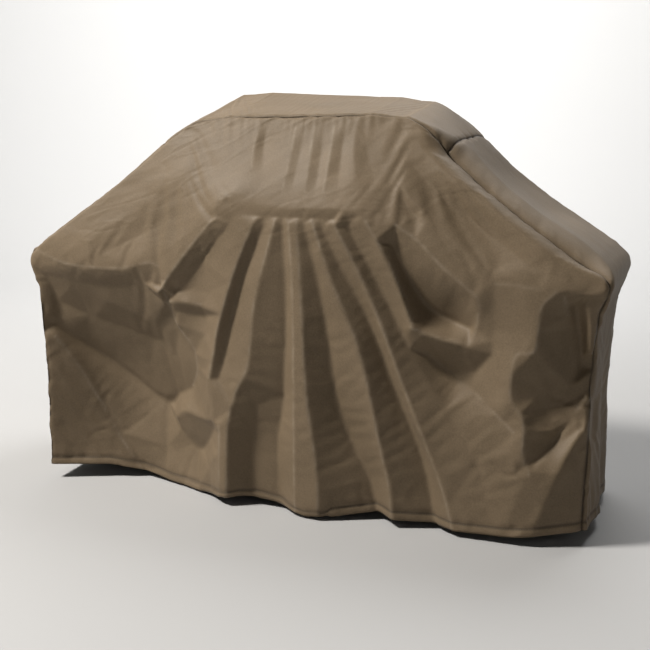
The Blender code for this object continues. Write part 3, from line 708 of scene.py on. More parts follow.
def settle(sewn):
    """How each point of the sewn cover moves when the fabric settles over the grill."""
    cover = new_mesh("settling cover", sewn.points, sewn.faces())
    hold = cover.vertex_groups.new(name="hold")
    weights = sewn.hold_weights()
    for level in np.unique(weights):
        hold.add([int(i) for i in np.nonzero(weights == level)[0]], float(level), "REPLACE")
    taut = cover.vertex_groups.new(name="taut")
    levels = np.round(smooth_share(sewn.points[:, 2], 0.45, 0.75), 1)
    for level in np.unique(levels):
        taut.add([int(i) for i in np.nonzero(levels == level)[0]], float(level), "REPLACE")
    grill = add_grill()
    cloth = cover.modifiers.new("Cloth", "CLOTH")
    for key, value in CLOTH.items():
        setattr(cloth.settings, key, value)
    cloth.collision_settings.collision_quality = 2
    cloth.collision_settings.distance_min = 0.003
    cloth.collision_settings.use_self_collision = False
    scene = bpy.context.scene
    cloth.point_cache.frame_start = 1
    cloth.point_cache.frame_end = SETTLE_FRAMES
    for number in range(1, SETTLE_FRAMES + 1):
        scene.frame_set(number)
    shaped = cover.evaluated_get(bpy.context.evaluated_depsgraph_get())
    settled = np.empty(len(sewn.points) * 3)
    shaped.data.vertices.foreach_get("co", settled)
    scene.frame_set(1)
    for piece in [cover, *grill]:
        bpy.data.objects.remove(piece, do_unlink=True)
    moved = settled.reshape(-1, 3) - sewn.points
    far = np.linalg.norm(moved, axis=1, keepdims=True) + 1e-9
    return moved * FALL * np.tanh(far / FALL) / far * (1.0 - sewn.at_hood_ends()[:, None])


# Materials

class Nodes:
    """Short names for building a material's node tree."""

    def __init__(self, name):
        self.material = bpy.data.materials.new(name)
        self.material.use_nodes = True
        self.tree = self.material.node_tree
        self.shader = self.tree.nodes["Principled BSDF"]

    def add(self, kind, **settings):
        node = self.tree.nodes.new(kind)
        for key, value in settings.items():
            if hasattr(node, key):
                setattr(node, key, value)
            else:
                node.inputs[key.replace("_", " ")].default_value = value
        return node

    def link(self, source, target):
        self.tree.links.new(source, target)

    def set(self, **values):
        for key, value in values.items():
            self.shader.inputs[key.replace("_", " ")].default_value = value

    def feed(self, source, socket="Base Color"):
        self.link(source, self.shader.inputs[socket])

    def texture(self, kind, **settings):
        """A texture over the piece's own coordinates."""
        node = self.add(kind, **settings)
        self.link(self.add("ShaderNodeTexCoord").outputs["Object"], node.inputs["Vector"])
        return node

    def noise(self, scale, detail, roughness=0.5):
        settings = {"Scale": scale, "Detail": detail, "Roughness": roughness}
        return self.texture("ShaderNodeTexNoise", **settings).outputs["Fac"]

    def mark(self, name):
        """A value that the mesh carries at each of its points."""
        return self.add("ShaderNodeAttribute", attribute_name=name).outputs["Fac"]

    def math(self, operation, first, second):
        """Second is a number or another node's output."""
        node = self.add("ShaderNodeMath", operation=operation)
        self.link(first, node.inputs[0])
        if isinstance(second, float):
            node.inputs[1].default_value = second
        else:
            self.link(second, node.inputs[1])
        return node.outputs["Value"]

    def spread(self, value, start=(0.0, 1.0), end=(0.0, 1.0)):
        """The value, with the range start stretched to the range end."""
        ends = {"From_Min": start[0], "From_Max": start[1], "To_Min": end[0], "To_Max": end[1]}
        node = self.add("ShaderNodeMapRange", **ends)
        self.link(value, node.inputs["Value"])
        return node.outputs["Result"]

    def mix(self, share, first, second):
        """From the first colour to the second; the first may be another node's output."""
        node = self.add("ShaderNodeMix", data_type="RGBA")
        if isinstance(first, tuple):
            node.inputs["A"].default_value = (*first, 1.0)
        else:
            self.link(first, node.inputs["A"])
        node.inputs["B"].default_value = (*second, 1.0)
        self.link(share, node.inputs["Factor"])
        return node.outputs["Result"]

    def bump(self, height, strength, distance, over=None, invert=False):
        node = self.add("ShaderNodeBump", Strength=strength, Distance=distance, invert=invert)
        self.link(height, node.inputs["Height"])
        if over is not None:
            self.link(over, node.inputs["Normal"])
        return node.outputs["Normal"]


def toned(colour, share):
    return tuple(share * part for part in colour)


def coated_fabric(name):
    """Tightly woven polyester with a satin coating: a fine weave, mottled tone, a painted highlight along
    the fold crests that also stands for wear, and painted shade in the stitched grooves.
    """
    n = Nodes(name)
    mottle = n.noise(6.0, 6.0, 0.62)
    grain = n.noise(230.0, 3.0, 0.65)
    both = n.add("ShaderNodeMix", data_type="FLOAT")
    both.inputs["Factor"].default_value = 0.50
    n.link(mottle, both.inputs["A"])
    n.link(grain, both.inputs["B"])
    colour = n.mix(n.spread(both.outputs["Result"], (0.36, 0.64)), FABRIC_DARK, FABRIC_LIGHT)

    # Painted highlight along the raised fold crests, here and there, which also stands for rubbed wear;
    # painted shade in the stitched grooves.
    patches = n.spread(n.noise(24.0, 3.0, 0.6), (0.30, 0.62))
    sheen_and_wear = n.math("MULTIPLY", n.math("POWER", n.mark("sheen_and_wear"), 2.0), patches)
    crest_lit_and_rubbed = n.mix(n.math("MULTIPLY", sheen_and_wear, CREST_SHEEN_AND_WEAR), colour, CREST_SHEEN_AND_DUST)
    # Painted shade in the stitched grooves of the seams and hem
    n.feed(n.mix(n.math("MULTIPLY", n.mark("groove"), GROOVE_SHADE), crest_lit_and_rubbed, SEAM_BROWN_AND_GROOVE_SHADE))

    flat = n.add("ShaderNodeUVMap", uv_map="Flat")
    threads = []
    for direction in ("X", "Y"):
        wave = n.add("ShaderNodeTexWave", bands_direction=direction, Scale=WAVE_PERIOD / WEAVE_PITCH)
        n.link(flat.outputs["UV"], wave.inputs["Vector"])
        threads.append(wave.outputs["Fac"])
    weave = n.bump(n.math("MAXIMUM", *threads), 0.10, 0.0002)
    n.feed(n.bump(grain, 0.35, 0.0006, weave), "Normal")
    n.feed(n.spread(mottle, end=(0.52, 0.66)), "Roughness")
    n.set(Specular_IOR_Level=0.20, Sheen_Weight=0.02, Sheen_Roughness=0.40)
    return n.material


def ribbed_tape(name, colour, pitch):
    """Woven tape: ribs across it, a darker gap between them, and a slight change of tone along it."""
    n = Nodes(name)
    wave = {"bands_direction": "DIAGONAL", "Scale": WAVE_PERIOD / pitch, "Distortion": 0.6}
    ribs = n.texture("ShaderNodeTexWave", **wave).outputs["Fac"]
    share = n.math("MULTIPLY", ribs, n.noise(60.0, 3.0))
    n.feed(n.mix(share, toned(colour, 0.55), toned(colour, 1.5)))
    n.feed(n.bump(ribs, 0.5, 0.0004), "Normal")
    n.set(Roughness=0.62, Sheen_Weight=0.2)
    return n.material


def pile(name, colour, scale, roughness, sheen):
    """The surface of hook or loop tape: fine raised dots, with a painted highlight on their tips where they
    catch the light.
    """
    n = Nodes(name)
    dots = n.texture("ShaderNodeTexVoronoi", Scale=scale).outputs["Distance"]
    # Painted highlight on the dot tips and painted shade between them
    n.feed(n.mix(dots, toned(colour, 1.6), toned(colour, 0.6)))
    n.feed(n.bump(dots, 0.8, 0.0004, invert=True), "Normal")
    n.set(Roughness=roughness, Sheen_Weight=sheen)
    return n.material


def thread(name):
    """Twisted sewing thread."""
    n = Nodes(name)
    twist = n.texture("ShaderNodeTexWave", bands_direction="DIAGONAL", Scale=700.0).outputs["Fac"]
    n.feed(n.mix(twist, toned(THREAD_BROWN, 0.7), toned(THREAD_BROWN, 1.3)))
    n.set(Roughness=0.5)
    return n.material


# Sewing: finer grids, wrinkles, seams and hems

def between(values):
    """The rows with a new one between each two, on a smooth curve through their neighbours."""
    ends = np.concatenate([2 * values[:1] - values[1:2], values, 2 * values[-1:] - values[-2:-1]])
    middle = (9.0 * (ends[1:-2] + ends[2:-1]) - ends[:-3] - ends[3:]) / 16.0
    result = np.empty((2 * len(values) - 1, *values.shape[1:]))
    result[0::2] = values
    result[1::2] = middle
    return result


def refine(grid):
    return between(between(grid).swapaxes(0, 1)).swapaxes(0, 1)


def outward(grid):
    """The unit normal at each point of a grid, away from the middle of the cover."""
    normal = np.cross(np.gradient(grid, axis=0), np.gradient(grid, axis=1))
    normal /= np.linalg.norm(normal, axis=2, keepdims=True) + 1e-12
    away = grid - np.array([0.0, MIDDLE_Y, 0.45])
    return normal * np.sign(np.mean(np.sum(normal * away, axis=2)))


def along_rows(grid):
    """Distance of each point from the first row, along its column."""
    steps = np.linalg.norm(np.diff(grid, axis=0), axis=2)
    return np.concatenate([np.zeros((1, grid.shape[1])), np.cumsum(steps, axis=0)])


def along_columns(grid):
    return along_rows(grid.swapaxes(0, 1)).swapaxes(0, 1)


def smooth_noise(u, v, size, seed, turn=0.6):
    """Smooth noise from -1 to 1 with bumps of about the given size."""
    table = np.random.default_rng(seed).uniform(-1.0, 1.0, (128, 128))
    x = (u * math.cos(turn) - v * math.sin(turn)) / size
    y = (u * math.sin(turn) + v * math.cos(turn)) / size
    i = np.floor(x).astype(int)
    j = np.floor(y).astype(int)
    a = x - i
    b = y - j
    a = a * a * (3.0 - 2.0 * a)
    b = b * b * (3.0 - 2.0 * b)
    low = blend(table[i % 128, j % 128], table[(i + 1) % 128, j % 128], a)
    high = blend(table[i % 128, (j + 1) % 128], table[(i + 1) % 128, (j + 1) % 128], a)
    return blend(low, high, b)


def creases(u, v, size, seed, turn):
    """Thin raised lines that wander over the fabric: 1 on a line, 0 away from it."""
    field = smooth_noise(u, v, size, seed, turn)
    field = field + 0.5 * smooth_noise(u, v, size * 0.45, seed + 1, turn + 0.9)
    return np.clip(1.0 - np.abs(field) / CREASE_WIDTH, 0.0, 1.0) ** 1.5


def crumple(u, v, seed):
    """Height of the fabric's small wrinkles, in metres."""
    waves = WAVE_HIGH * smooth_noise(u, v, WAVE_SIZE, seed)
    ripples = RIPPLE_HIGH * smooth_noise(u, v, RIPPLE_SIZE, seed + 7, 1.9)
    patches = smooth_share(smooth_noise(u, v, 0.22, seed + 3, 2.2), -0.35, 0.45)
    thin = creases(u, v, 0.10, seed + 11, 0.3) - creases(u, v, 0.13, seed + 23, 1.4)
    return waves + ripples + CREASE_HIGH * patches * thin


def seam_height(away, along, seed):
    """The groove at a seam and the puckers beside it, in metres."""
    groove = -SEAM_DIP * np.exp(-(away / SEAM_WIDTH) ** 2)
    pucker = PUCKER * smooth_noise(along, 0.3 * away, PUCKER_STEP, seed, 0.0)
    return groove + pucker * np.exp(-away / PUCKER_REACH)


def hem_height(away, along, seed):
    """The thicker band of the hem, its sunk stitch line and the puckers above it."""
    band = HEM_PROUD * (1.0 - smooth_share(away, HEM_STITCH, HEM_STITCH + 0.004))
    groove = -HEM_DIP * np.exp(-((away - HEM_STITCH) / HEM_DIP_WIDTH) ** 2)
    pucker = HEM_PUCKER * smooth_noise(along, 0.4 * away, PUCKER_STEP, seed, 0.0)
    return band + groove + pucker * np.exp(-np.abs(away - HEM_STITCH) / HEM_PUCKER_REACH)


def turned_edge(near, across, away, radius):
    """How far a point at a distance from a corner moves when the corner is rounded over.

    near and across are the unit normals of the point's own side and of the side round the corner.
    """
    share = np.clip(away / radius, 0.0, 1.0)[..., None]
    angle = 0.25 * math.pi * (1.0 + share)
    reach = radius[..., None]
    move = near * reach * (np.sin(angle) - 1.0)
    return move + across * (reach * np.cos(angle) - reach * (1.0 - share))


def edge_normals(grid):
    """The normals near a grid's first row, evened out along it."""
    normal = outward(grid)[EDGE_CELLS]
    width = 2 * EDGE_EVEN + 1
    padded = [np.pad(normal[:, k], EDGE_EVEN, mode="edge") for k in range(3)]
    even = np.stack([np.convolve(line, np.ones(width) / width, "valid") for line in padded], axis=1)
    return even / np.linalg.norm(even, axis=1, keepdims=True)


def edge_radius(rim, right_slope):
    """Small corners low down and along the top, and wide ones over the slopes."""
    z = rim[:, 2]
    slope = smooth_share(z, 0.64, 0.74) * (1.0 - smooth_share(z, 0.97, 1.05))
    return blend(LOW_RADIUS, np.where(rim[:, 0] > 0.0, right_slope, SLOPE_RADIUS), slope)


def round_edges(wall, gusset, right_slope):
    """Rounds the sewn edge between a wall and the gusset whose first row is on it."""
    rows, columns = wall.shape[:2]
    rim = gusset[0]
    radius = edge_radius(rim, right_slope)
    across = edge_normals(gusset)
    # The wall from its left, top and right sides, each with its part of the rim
    sides = (
        (wall.swapaxes(0, 1), slice(0, rows)),
        (wall[::-1], slice(rows - 1, rows - 1 + columns)),
        (wall[:, ::-1].swapaxes(0, 1), slice(len(rim) - 1, len(rim) - 1 - rows, -1)),
    )
    near = np.zeros_like(rim)
    moves = []
    for turned, part in sides:
        normal = edge_normals(turned)
        near[part] = normal
        away = along_rows(turned)
        wide = np.broadcast_to(radius[part], away.shape)
        shift = turned_edge(normal[None], across[part][None], away, wide)
        moves.append((away / wide, shift))
    wide = np.broadcast_to(radius, gusset.shape[:2])
    gusset += turned_edge(across[None], near[None], along_rows(gusset), wide)
    left, top, right = moves
    far = np.stack([left[0].T, top[0][::-1], right[0].T[:, ::-1]])
    shift = np.stack([left[1].swapaxes(0, 1), top[1][::-1], right[1].swapaxes(0, 1)[:, ::-1]])
    wall += np.take_along_axis(shift, np.argmin(far, axis=0)[None, ..., None], axis=0)[0]


def groove_share(*distances):
    """1 in a stitched groove, fading to 0 beside it."""
    nearest = np.min(np.abs(distances), axis=0)
    return np.clip(1.0 - nearest / GROOVE_REACH, 0.0, 1.0)


def wall_marks(grid, folds, sheen_and_wear):
    """Where a wall gets the painted crest highlight, which also stands for rubbed wear, and where painted
    shade lies in the grooves of its seams and hem.
    """
    up = along_rows(grid)
    across = along_columns(grid)
    grooves = groove_share(across, across[:, -1:] - across, up[-1:] - up, up - HEM_STITCH)
    return sheen_and_wear * crest_sheen_and_wear_mask(folds, grid[..., 0], grid[..., 2]), grooves


def wall_detail(grid, seed):
    """The front or back wall with its wrinkles, top and side seams and hem."""
    up = along_rows(grid)
    across = along_columns(grid)
    height = crumple(across, up, seed)
    for away, along in ((across, up), (across[:, -1:] - across, up + 3.0), (up[-1:] - up, across)):
        height += seam_height(away, along, seed + 31)
    height += hem_height(up, across, seed + 41)
    return grid + outward(grid) * height[..., None]


def gusset_detail(grid, crosses, seed):
    """The gusset with its wrinkles, long seams, cross seams and hems."""
    back = along_rows(grid)
    around = along_columns(grid)
    height = crumple(around, back, seed)
    height += seam_height(back, around, seed + 31) + seam_height(back[-1:] - back, around, seed + 37)
    for column in crosses:
        height += seam_height(np.abs(around - around[:, column:column + 1]), back, seed + 53)
    height += hem_height(around, back, seed + 41) + hem_height(around[:, -1:] - around, back, seed + 43)
    return grid + outward(grid) * height[..., None]


def clear_of_straps(grid):
    """The gusset kept against the sewn-on strap anchors and outside the hanging straps."""
    side = np.sign(grid[..., 0])
    reach = np.abs(grid[..., 0])
    z = grid[..., 2]
    for y in (MIDDLE_Y - STRAP_Y, MIDDLE_Y + STRAP_Y):
        off = np.abs(grid[..., 1] - y)
        beside = 1.0 - smooth_share(off, 0.020, 0.042)
        low = 1.0 - smooth_share(z, 0.34, 0.40)
        reach = np.where(reach < GUSSET_SKIN, blend(reach, GUSSET_SKIN, beside * low), reach)
        held = 1.0 - smooth_share(np.hypot(off, z - ANCHOR_Z), 0.030, 0.075)
        reach = blend(reach, GUSSET_SKIN, held)
    grid[..., 0] = side * reach
    return grid


def set_rim(grid, rim):
    """Gives the wall's edge the points of the gusset's edge."""
    rows, columns = grid.shape[:2]
    grid[:-1, 0] = rim[:rows - 1]
    grid[-1] = rim[rows - 1:rows - 1 + columns]
    grid[-2::-1, -1] = rim[rows - 1 + columns:]


def grid_mesh(name, grid, material, thickness, normal=None, marks=None):
    """A sheet from a grid of points, with its lengths as a flat map, made into a thin solid."""
    index = np.arange(grid.shape[0] * grid.shape[1]).reshape(grid.shape[:2])
    faces = quads(index)
    wanted = outward(grid) if normal is None else normal
    a, b, c, d = (grid.reshape(-1, 3)[faces[:, k]] for k in range(4))
    facing = np.sum(np.cross(c - a, d - b) * wanted.reshape(-1, 3)[faces[:, 0]])
    if facing < 0.0:
        faces = faces[:, ::-1]
    piece = new_mesh(name, grid.reshape(-1, 3), faces)
    flat = np.stack([along_columns(grid).ravel(), along_rows(grid).ravel()], axis=1)
    loops = np.empty(len(piece.data.loops), dtype=np.int32)
    piece.data.loops.foreach_get("vertex_index", loops)
    layer = piece.data.uv_layers.new(name="Flat")
    layer.data.foreach_set("uv", flat[loops].ravel())
    for mark, values in (marks or {}).items():
        attribute = piece.data.attributes.new(mark, "FLOAT", "POINT")
        attribute.data.foreach_set("value", values.ravel().astype(np.float32))
    piece.data.materials.append(material)
    piece.data.shade_smooth()
    solid = piece.modifiers.new("Thickness", "SOLIDIFY")
    solid.thickness = thickness
    solid.offset = -1.0
    return piece


def panel(name, node, grid, hemmed, sheen_and_wear=None, groove=None):
    """One fabric panel; its first rows are the hem, which turns up inside."""
    normal = outward(grid)
    # The marks carry the painted crest highlight, which also stands for wear, and the painted shade in the
    # seams' grooves
    marks = {"sheen_and_wear": np.zeros(grid.shape[:2]) if sheen_and_wear is None else sheen_and_wear, "groove": groove}
    if hemmed:
        turned = grid[HEM_ROWS::-1] - normal[HEM_ROWS::-1] * HEM_TURN
        grid = np.concatenate([turned, grid])
        normal = np.concatenate([-normal[HEM_ROWS::-1], normal])
        blank = np.zeros(turned.shape[:2])
        marks = {mark: np.concatenate([blank, values]) for mark, values in marks.items()}
    piece = grid_mesh(name, grid, MATERIALS["fabric"], CLOTH_THICK, normal=normal, marks=marks)
    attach(piece, "root")
    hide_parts(node)
    return piece


def stitches(name, path, normal, body="root", pitch=STITCH_PITCH, length=STITCH_LENGTH, width=THREAD_WIDTH):
    """A line of thread stitches, each a small rounded bead lying along the path."""
    steps = np.linalg.norm(np.diff(path, axis=0), axis=1)
    along = np.concatenate([[0.0], np.cumsum(steps)])
    places = np.arange(0.5 * pitch, along[-1], pitch)
    centre = np.stack([np.interp(places, along, path[:, k]) for k in range(3)], axis=1)
    ahead = np.stack([np.interp(places + 0.3 * pitch, along, path[:, k]) for k in range(3)], axis=1)
    behind = np.stack([np.interp(places - 0.3 * pitch, along, path[:, k]) for k in range(3)], axis=1)
    up = np.stack([np.interp(places, along, normal[:, k]) for k in range(3)], axis=1)
    run = ahead - behind
    run /= np.linalg.norm(run, axis=1, keepdims=True) + 1e-12
    wide = np.cross(run, up)
    wide /= np.linalg.norm(wide, axis=1, keepdims=True) + 1e-12
    up = np.cross(wide, run)
    ring = [(math.cos(math.tau * k / 6), math.sin(math.tau * k / 6)) for k in range(6)]
    shape = [(-0.5, 0.0, 0.0)]
    for share, girth in ((-0.32, 0.8), (0.0, 1.0), (0.32, 0.8)):
        shape += [(share, girth * a, girth * b) for a, b in ring]
    shape.append((0.5, 0.0, 0.0))
    shape = np.array(shape) * (length, 0.5 * width, 0.5 * width)
    points = (centre[:, None] + shape[None, :, :1] * run[:, None] + shape[None, :, 1:2] * wide[:, None]
              + shape[None, :, 2:] * up[:, None]).reshape(-1, 3)
    bead = []
    for k in range(6):
        after = (k + 1) % 6
        bead.append((0, 1 + after, 1 + k))
        bead += [(1 + k, 1 + after, 7 + after, 7 + k), (7 + k, 7 + after, 13 + after, 13 + k)]
        bead.append((19, 13 + k, 13 + after))
    faces = [tuple(number * len(shape) + i for i in face) for number in range(len(places)) for face in bead]
    piece = new_mesh(name, points, faces)
    piece.data.materials.append(MATERIALS["thread"])
    piece.data.shade_smooth()
    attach(piece, body)
    return piece


def row_at(grid, distance):
    """The points at a distance from the first row, along each column."""
    along = along_rows(grid)
    rows = []
    for column in range(grid.shape[1]):
        rows.append([np.interp(distance, along[:, column], grid[:, column, k]) for k in range(3)])
    return np.array(rows)


def binding(name, node, grid, start, end):
    """A tape sewn inside along the first row of a grid, from start to end across it."""
    normal = outward(grid)
    strip = np.array([row_at(grid[:8] - normal[:8] * TAPE_OFF, d) for d in np.linspace(start, end, 4)])
    piece = grid_mesh(name, strip, MATERIALS["binding"], TAPE_THICK, normal=outward(grid[:4]))
    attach(piece, "root")
    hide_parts(node)
    return piece


# Straps

def rounded_tape(width, top, bottom, radius, cells):
    """Half widths and heights of a tape's rows, from top to bottom, with rounded lower corners."""
    rows = []
    for z in np.linspace(top, bottom, cells + 1):
        into = max(0.0, radius - (z - bottom))
        half = 0.5 * width - (radius - math.sqrt(max(0.0, radius ** 2 - into ** 2)))
        rows.append((half, z))
    return rows


def tape_grid(x, y, rows, columns=8):
    """A hanging tape's points, all at one x."""
    shares = np.linspace(-1.0, 1.0, columns + 1)
    return np.array([[(x, y + half * share, z) for share in shares] for half, z in rows])


def hook_field(name, side, y, rows, body):
    """The hooks of the hook tape: small bent bristles in even rows."""
    points = []
    faces = []
    for _, z in rows[1:-1]:
        for step in range(-6, 7):
            start = len(points)
            for out, bend in HOOK_PROFILE:
                centre = (side * (TAPE_FACE - out), y + step * HOOK_PITCH, z + bend)
                points += [(centre[0], centre[1] + a, centre[2] + b) for a, b in HOOK_SECTION]
            for level in range(len(HOOK_PROFILE) - 1):
                low = start + 3 * level
                for k in range(3):
                    after = (k + 1) % 3
                    faces.append((low + k, low + after, low + 3 + after, low + 3 + k))
            faces.append((start, start + 2, start + 1))
            last = start + 3 * (len(HOOK_PROFILE) - 1)
            faces.append((last, last + 1, last + 2))
    piece = new_mesh(name, points, faces)
    piece.data.materials.append(MATERIALS["hook"])
    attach(piece, body)
    return piece


def outline_path(x, y, half, top, bottom):
    """The stitch line round a rectangle at one x."""
    corners = [(-half, top), (half, top), (half, bottom), (-half, bottom), (-half, top)]
    path = []
    for (y0, z0), (y1, z1) in zip(corners[:-1], corners[1:]):
        for share in np.linspace(0.02, 0.98, 12):
            path.append((x, y + blend(y0, y1, share), blend(z0, z1, share)))
    return np.array(path)


def add_anchor(tag, side, y):
    """The patch of cover fabric that sews a strap's top to the gusset."""
    out = np.array([side, 0.0, 0.0])
    half = 0.5 * ANCHOR_SIZE
    rows = [(half, z) for z in np.linspace(ANCHOR_Z + half, ANCHOR_Z - half, 13)]
    grid = tape_grid(side * ANCHOR_FACE, y, rows, 12)
    anchor = grid_mesh(f"strap_patch_{tag}", grid, MATERIALS["fabric"], ANCHOR_THICK, normal=grid * 0 + out)
    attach(anchor, "root")
    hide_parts(f"strap_anchor_{tag}")
    inside = side * (ANCHOR_FACE - ANCHOR_THICK - 0.0001)
    edge = outline_path(inside, y, half - 0.003, ANCHOR_Z + 0.022, ANCHOR_Z - 0.022)
    stitches(f"strap_patch_stitches_{tag}", edge, np.tile(-out, (len(edge), 1)), pitch=0.004, length=0.003)


def add_webbing(tag, side, y):
    """The strap itself."""
    rows = rounded_tape(STRAP_WIDTH, STRAP_TOP, STRAP_TOP - STRAP_LENGTH, STRAP_ROUND, 90)
    grid = tape_grid(side * STRAP_FACE, y, rows)
    normal = np.tile((side, 0.0, 0.0), (*grid.shape[:2], 1))
    strap = grid_mesh(f"webbing_{tag}", grid, MATERIALS["webbing"], STRAP_THICK, normal=normal)
    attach(strap, f"strap_{tag}")
    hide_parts(f"leg_strap_{tag}")


def add_tape(kind, tag, side, y, top, bottom):
    """The hook or loop tape on a strap's inner face."""
    body = f"strap_{tag}"
    rows = rounded_tape(TAPE_WIDTH, top, bottom, 0.003, int(round((top - bottom) / 0.002)))
    grid = tape_grid(side * (TAPE_FACE + TAPE_BASE), y, rows)
    normal = np.tile((side, 0.0, 0.0), (*grid.shape[:2], 1))
    tape = grid_mesh(f"{kind}_strip_{tag}", grid, MATERIALS[kind], TAPE_BASE, normal=normal)
    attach(tape, body)
    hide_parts(f"{kind}_tape_{tag}")
    inside = side * (TAPE_FACE - 0.0001)
    edge = outline_path(inside, y, 0.5 * TAPE_WIDTH - 0.0015, top - 0.002, bottom + 0.003)
    inward = np.tile((-side, 0.0, 0.0), (len(edge), 1))
    stitches(f"{kind}_strip_stitches_{tag}", edge, inward, body, 0.0035, 0.0026, 0.0005)
    if kind == "hook":
        hook_field(f"hooks_{tag}", side, y, rows, body)


def add_strap(end, side_name):
    """One leg strap: its sewn-on anchor, the webbing, and the tapes on its inner face."""
    side = -1.0 if side_name == "left" else 1.0
    y = MIDDLE_Y + (-STRAP_Y if end == "front" else STRAP_Y)
    tag = f"{end}_{side_name}"
    add_anchor(tag, side, y)
    add_webbing(tag, side, y)
    loop_top = STRAP_TOP - LOOP_FROM_TOP
    hook_bottom = STRAP_TOP - STRAP_LENGTH + HOOK_FROM_TIP
    add_tape("loop", tag, side, y, loop_top, loop_top - LOOP_LENGTH)
    add_tape("hook", tag, side, y, hook_bottom + HOOK_LENGTH, hook_bottom)


# Stage, lights and camera

def add_floor():
    """A pale paper sweep all round: a floor that curves up into a wall on every side."""
    profile = [(0.0, 0.0), (0.5 * SWEEP_RADIUS, 0.0), (SWEEP_RADIUS - SWEEP_CURVE, 0.0)]
    for step in range(1, SWEEP_STEPS + 1):
        angle = 0.5 * math.pi * step / SWEEP_STEPS
        radius = SWEEP_RADIUS + SWEEP_CURVE * (math.sin(angle) - 1.0)
        profile.append((radius, SWEEP_CURVE * (1.0 - math.cos(angle))))
    profile.append((SWEEP_RADIUS, SWEEP_HEIGHT))
    turns = SWEEP_TURNS
    points = [(0.0, 0.0, 0.0)]
    for radius, z in profile[1:]:
        points += [(radius * math.cos(math.tau * k / turns), radius * math.sin(math.tau * k / turns), z)
                   for k in range(turns)]
    faces = [(0, 1 + k, 1 + (k + 1) % turns) for k in range(turns)]
    for level in range(len(profile) - 2):
        low = 1 + level * turns
        faces += [(low + k, low + turns + k, low + turns + (k + 1) % turns, low + (k + 1) % turns)
                  for k in range(turns)]
    floor = new_mesh("floor", points, faces)
    floor.data.shade_smooth()
    n = Nodes("floor")
    n.set(Roughness=0.9, Base_Color=FLOOR_COLOUR)
    floor.data.materials.append(n.material)


def add_light(name, place, target, size, power, colour):
    data = bpy.data.lights.new(name, "AREA")
    data.shape = "DISK"
    data.size = size
    data.energy = power
    data.color = colour
    light = bpy.data.objects.new(name, data)
    light.location = place
    light.rotation_euler = (Vector(target) - Vector(place)).to_track_quat("-Z", "Y").to_euler()
    bpy.context.scene.collection.objects.link(light)


def add_world():
    """A studio that is bright behind the cover and dimmer on the camera's side."""
    world = bpy.data.worlds.new("studio")
    world.use_nodes = True
    tree = world.node_tree
    shade = tree.nodes["Background"]
    shade.inputs["Color"].default_value = (1.0, 1.0, 1.0, 1.0)
    place = tree.nodes.new("ShaderNodeTexCoord")
    facing = tree.nodes.new("ShaderNodeVectorMath")
    facing.operation = "DOT_PRODUCT"
    facing.inputs[1].default_value = STUDIO_BACK
    tree.links.new(place.outputs["Generated"], facing.inputs[0])
    level = tree.nodes.new("ShaderNodeMapRange")
    level.interpolation_type = "SMOOTHSTEP"
    level.inputs["From Min"].default_value = -0.1
    level.inputs["From Max"].default_value = 0.75
    level.inputs["To Min"].default_value = STUDIO_FRONT_LEVEL
    level.inputs["To Max"].default_value = STUDIO_BACK_LEVEL
    tree.links.new(facing.outputs["Value"], level.inputs["Value"])
    tree.links.new(level.outputs["Result"], shade.inputs["Strength"])
    bpy.context.scene.world = world


def add_camera():
    bpy.context.scene.view_settings.view_transform = "Standard"
    azimuth = math.radians(CAMERA_AZIMUTH)
    height = math.radians(CAMERA_ELEVATION)
    level = math.cos(height)
    back = Vector((math.sin(azimuth) * level, -math.cos(azimuth) * level, math.sin(height)))
    data = bpy.data.cameras.new("camera")
    data.sensor_width = 36.0
    data.lens = CAMERA_LENS
    camera = bpy.data.objects.new("camera", data)
    camera.location = Vector(CAMERA_TARGET) + back * CAMERA_DISTANCE
    camera.rotation_euler = (-back).to_track_quat("-Z", "Y").to_euler()
    bpy.context.scene.collection.objects.link(camera)
    bpy.context.scene.camera = camera


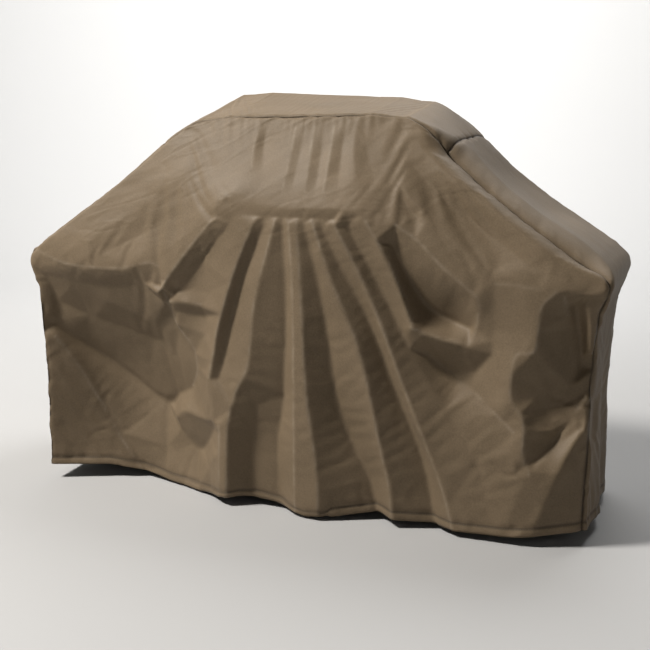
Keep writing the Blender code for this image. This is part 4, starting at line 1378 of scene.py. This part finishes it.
def sew_cover(laid, fine, moved):
    """The five panels, the bindings in their seams, and every line of stitches.

    The crisp folds come from the fine layout, and the way it settled from the coarser one.
    """
    cross = 2 * laid.cross
    front = fine.points[fine.front] + refine(moved[laid.front])
    back = fine.points[fine.back] + refine(moved[laid.back])
    gusset = fine.points[fine.gusset] + refine(moved[laid.gusset])
    last = gusset.shape[1] - 1
    round_edges(front, gusset, RIGHT_RADIUS)
    round_edges(back, gusset[::-1], SLOPE_RADIUS)
    # Where the walls get the painted crest highlight (also standing for wear), half as strong on the back,
    # and the painted groove shade
    front_marks = wall_marks(front, FRONT_FOLDS, 1.0)
    back_marks = wall_marks(back, BACK_FOLDS, 0.5)
    off = along_rows(gusset)
    around = along_columns(gusset)
    # Painted shade in the gusset's stitched grooves: its long seams, hems and cross seams
    groove = groove_share(
        off, off[-1:] - off, around - HEM_STITCH, around[:, -1:] - around - HEM_STITCH,
        around - around[:, cross:cross + 1], around - around[:, last - cross:last - cross + 1])
    front = wall_detail(front, 5)
    back = wall_detail(back, 61)
    gusset = clear_of_straps(gusset_detail(gusset, (cross, last - cross), 97))
    for grid in (front, back, gusset):
        grid[..., 2] = np.maximum(grid[..., 2], FLOOR_GAP)
    set_rim(front, gusset[0])
    set_rim(back, gusset[-1])
    left, left_groove = (field[:, :cross + 1].swapaxes(0, 1) for field in (gusset, groove))
    right, right_groove = (field[:, ::-1][:, :cross + 1].swapaxes(0, 1) for field in (gusset, groove))
    top, top_groove = (field[:, cross:last - cross + 1] for field in (gusset, groove))
    panels = {
        "front_panel": panel("front_cloth", "front_panel", front, True, *front_marks),
        "back_panel": panel("back_cloth", "back_panel", back, True, *back_marks),
        "left_gusset": panel("left_gusset_cloth", "left_gusset", left, True, None, left_groove),
        "right_gusset": panel("right_gusset_cloth", "right_gusset", right, True, None, right_groove),
        "top_gusset": panel("top_gusset_cloth", "top_gusset", top, False, None, top_groove),
    }
    lines = {}
    for name, grid in (("front", front), ("back", back), ("left", left), ("right", right)):
        path = row_at(grid, HEM_STITCH)
        lines[name] = stitches(f"{name}_hem_stitches", path, outward(grid)[2])
    for name, grid in (("front", gusset), ("back", gusset[::-1])):
        path = row_at(grid, SEAM_STITCH)
        lines[name + " seam"] = stitches(f"{name}_seam_stitches", path, outward(grid)[1])
        inner = grid[:, HEM_ROWS + 3:-HEM_ROWS - 3]
        binding(f"{name}_binding", f"{name}_seam_binding", inner, 0.0015, TAPE_ACROSS)
    for name, grid in (("left", left[::-1]), ("right", right[::-1])):
        path = row_at(grid, SEAM_STITCH)
        lines[name + " cross"] = stitches(f"{name}_cross_stitches", path, outward(grid)[1])
        inner = grid[:, 5:-5]
        binding(f"{name}_cross_binding", f"{name}_cross_seam_binding", inner, 0.0005, 0.5 * TAPE_ACROSS)
    return panels, lines


def main():
    MATERIALS["fabric"] = coated_fabric("coated fabric")
    MATERIALS["binding"] = ribbed_tape("binding tape", SEAM_BROWN_AND_GROOVE_SHADE, 0.0009)
    MATERIALS["webbing"] = ribbed_tape("strap webbing", WEBBING_BROWN, 0.0016)
    MATERIALS["hook"] = pile("hook tape", HOOK_BLACK, 900.0, 0.38, 0.0)
    MATERIALS["loop"] = pile("loop tape", LOOP_BLACK, 1400.0, 0.9, 0.5)
    MATERIALS["thread"] = thread("sewing thread")
    laid = Sewn(1)
    moved = settle(laid)
    panels, lines = sew_cover(laid, Sewn(2), moved)
    for end in ("front", "back"):
        for side_name in ("left", "right"):
            add_strap(end, side_name)
    add_floor()
    for lamp in LAMPS:
        add_light(*lamp)
    add_world()
    add_camera()


main()
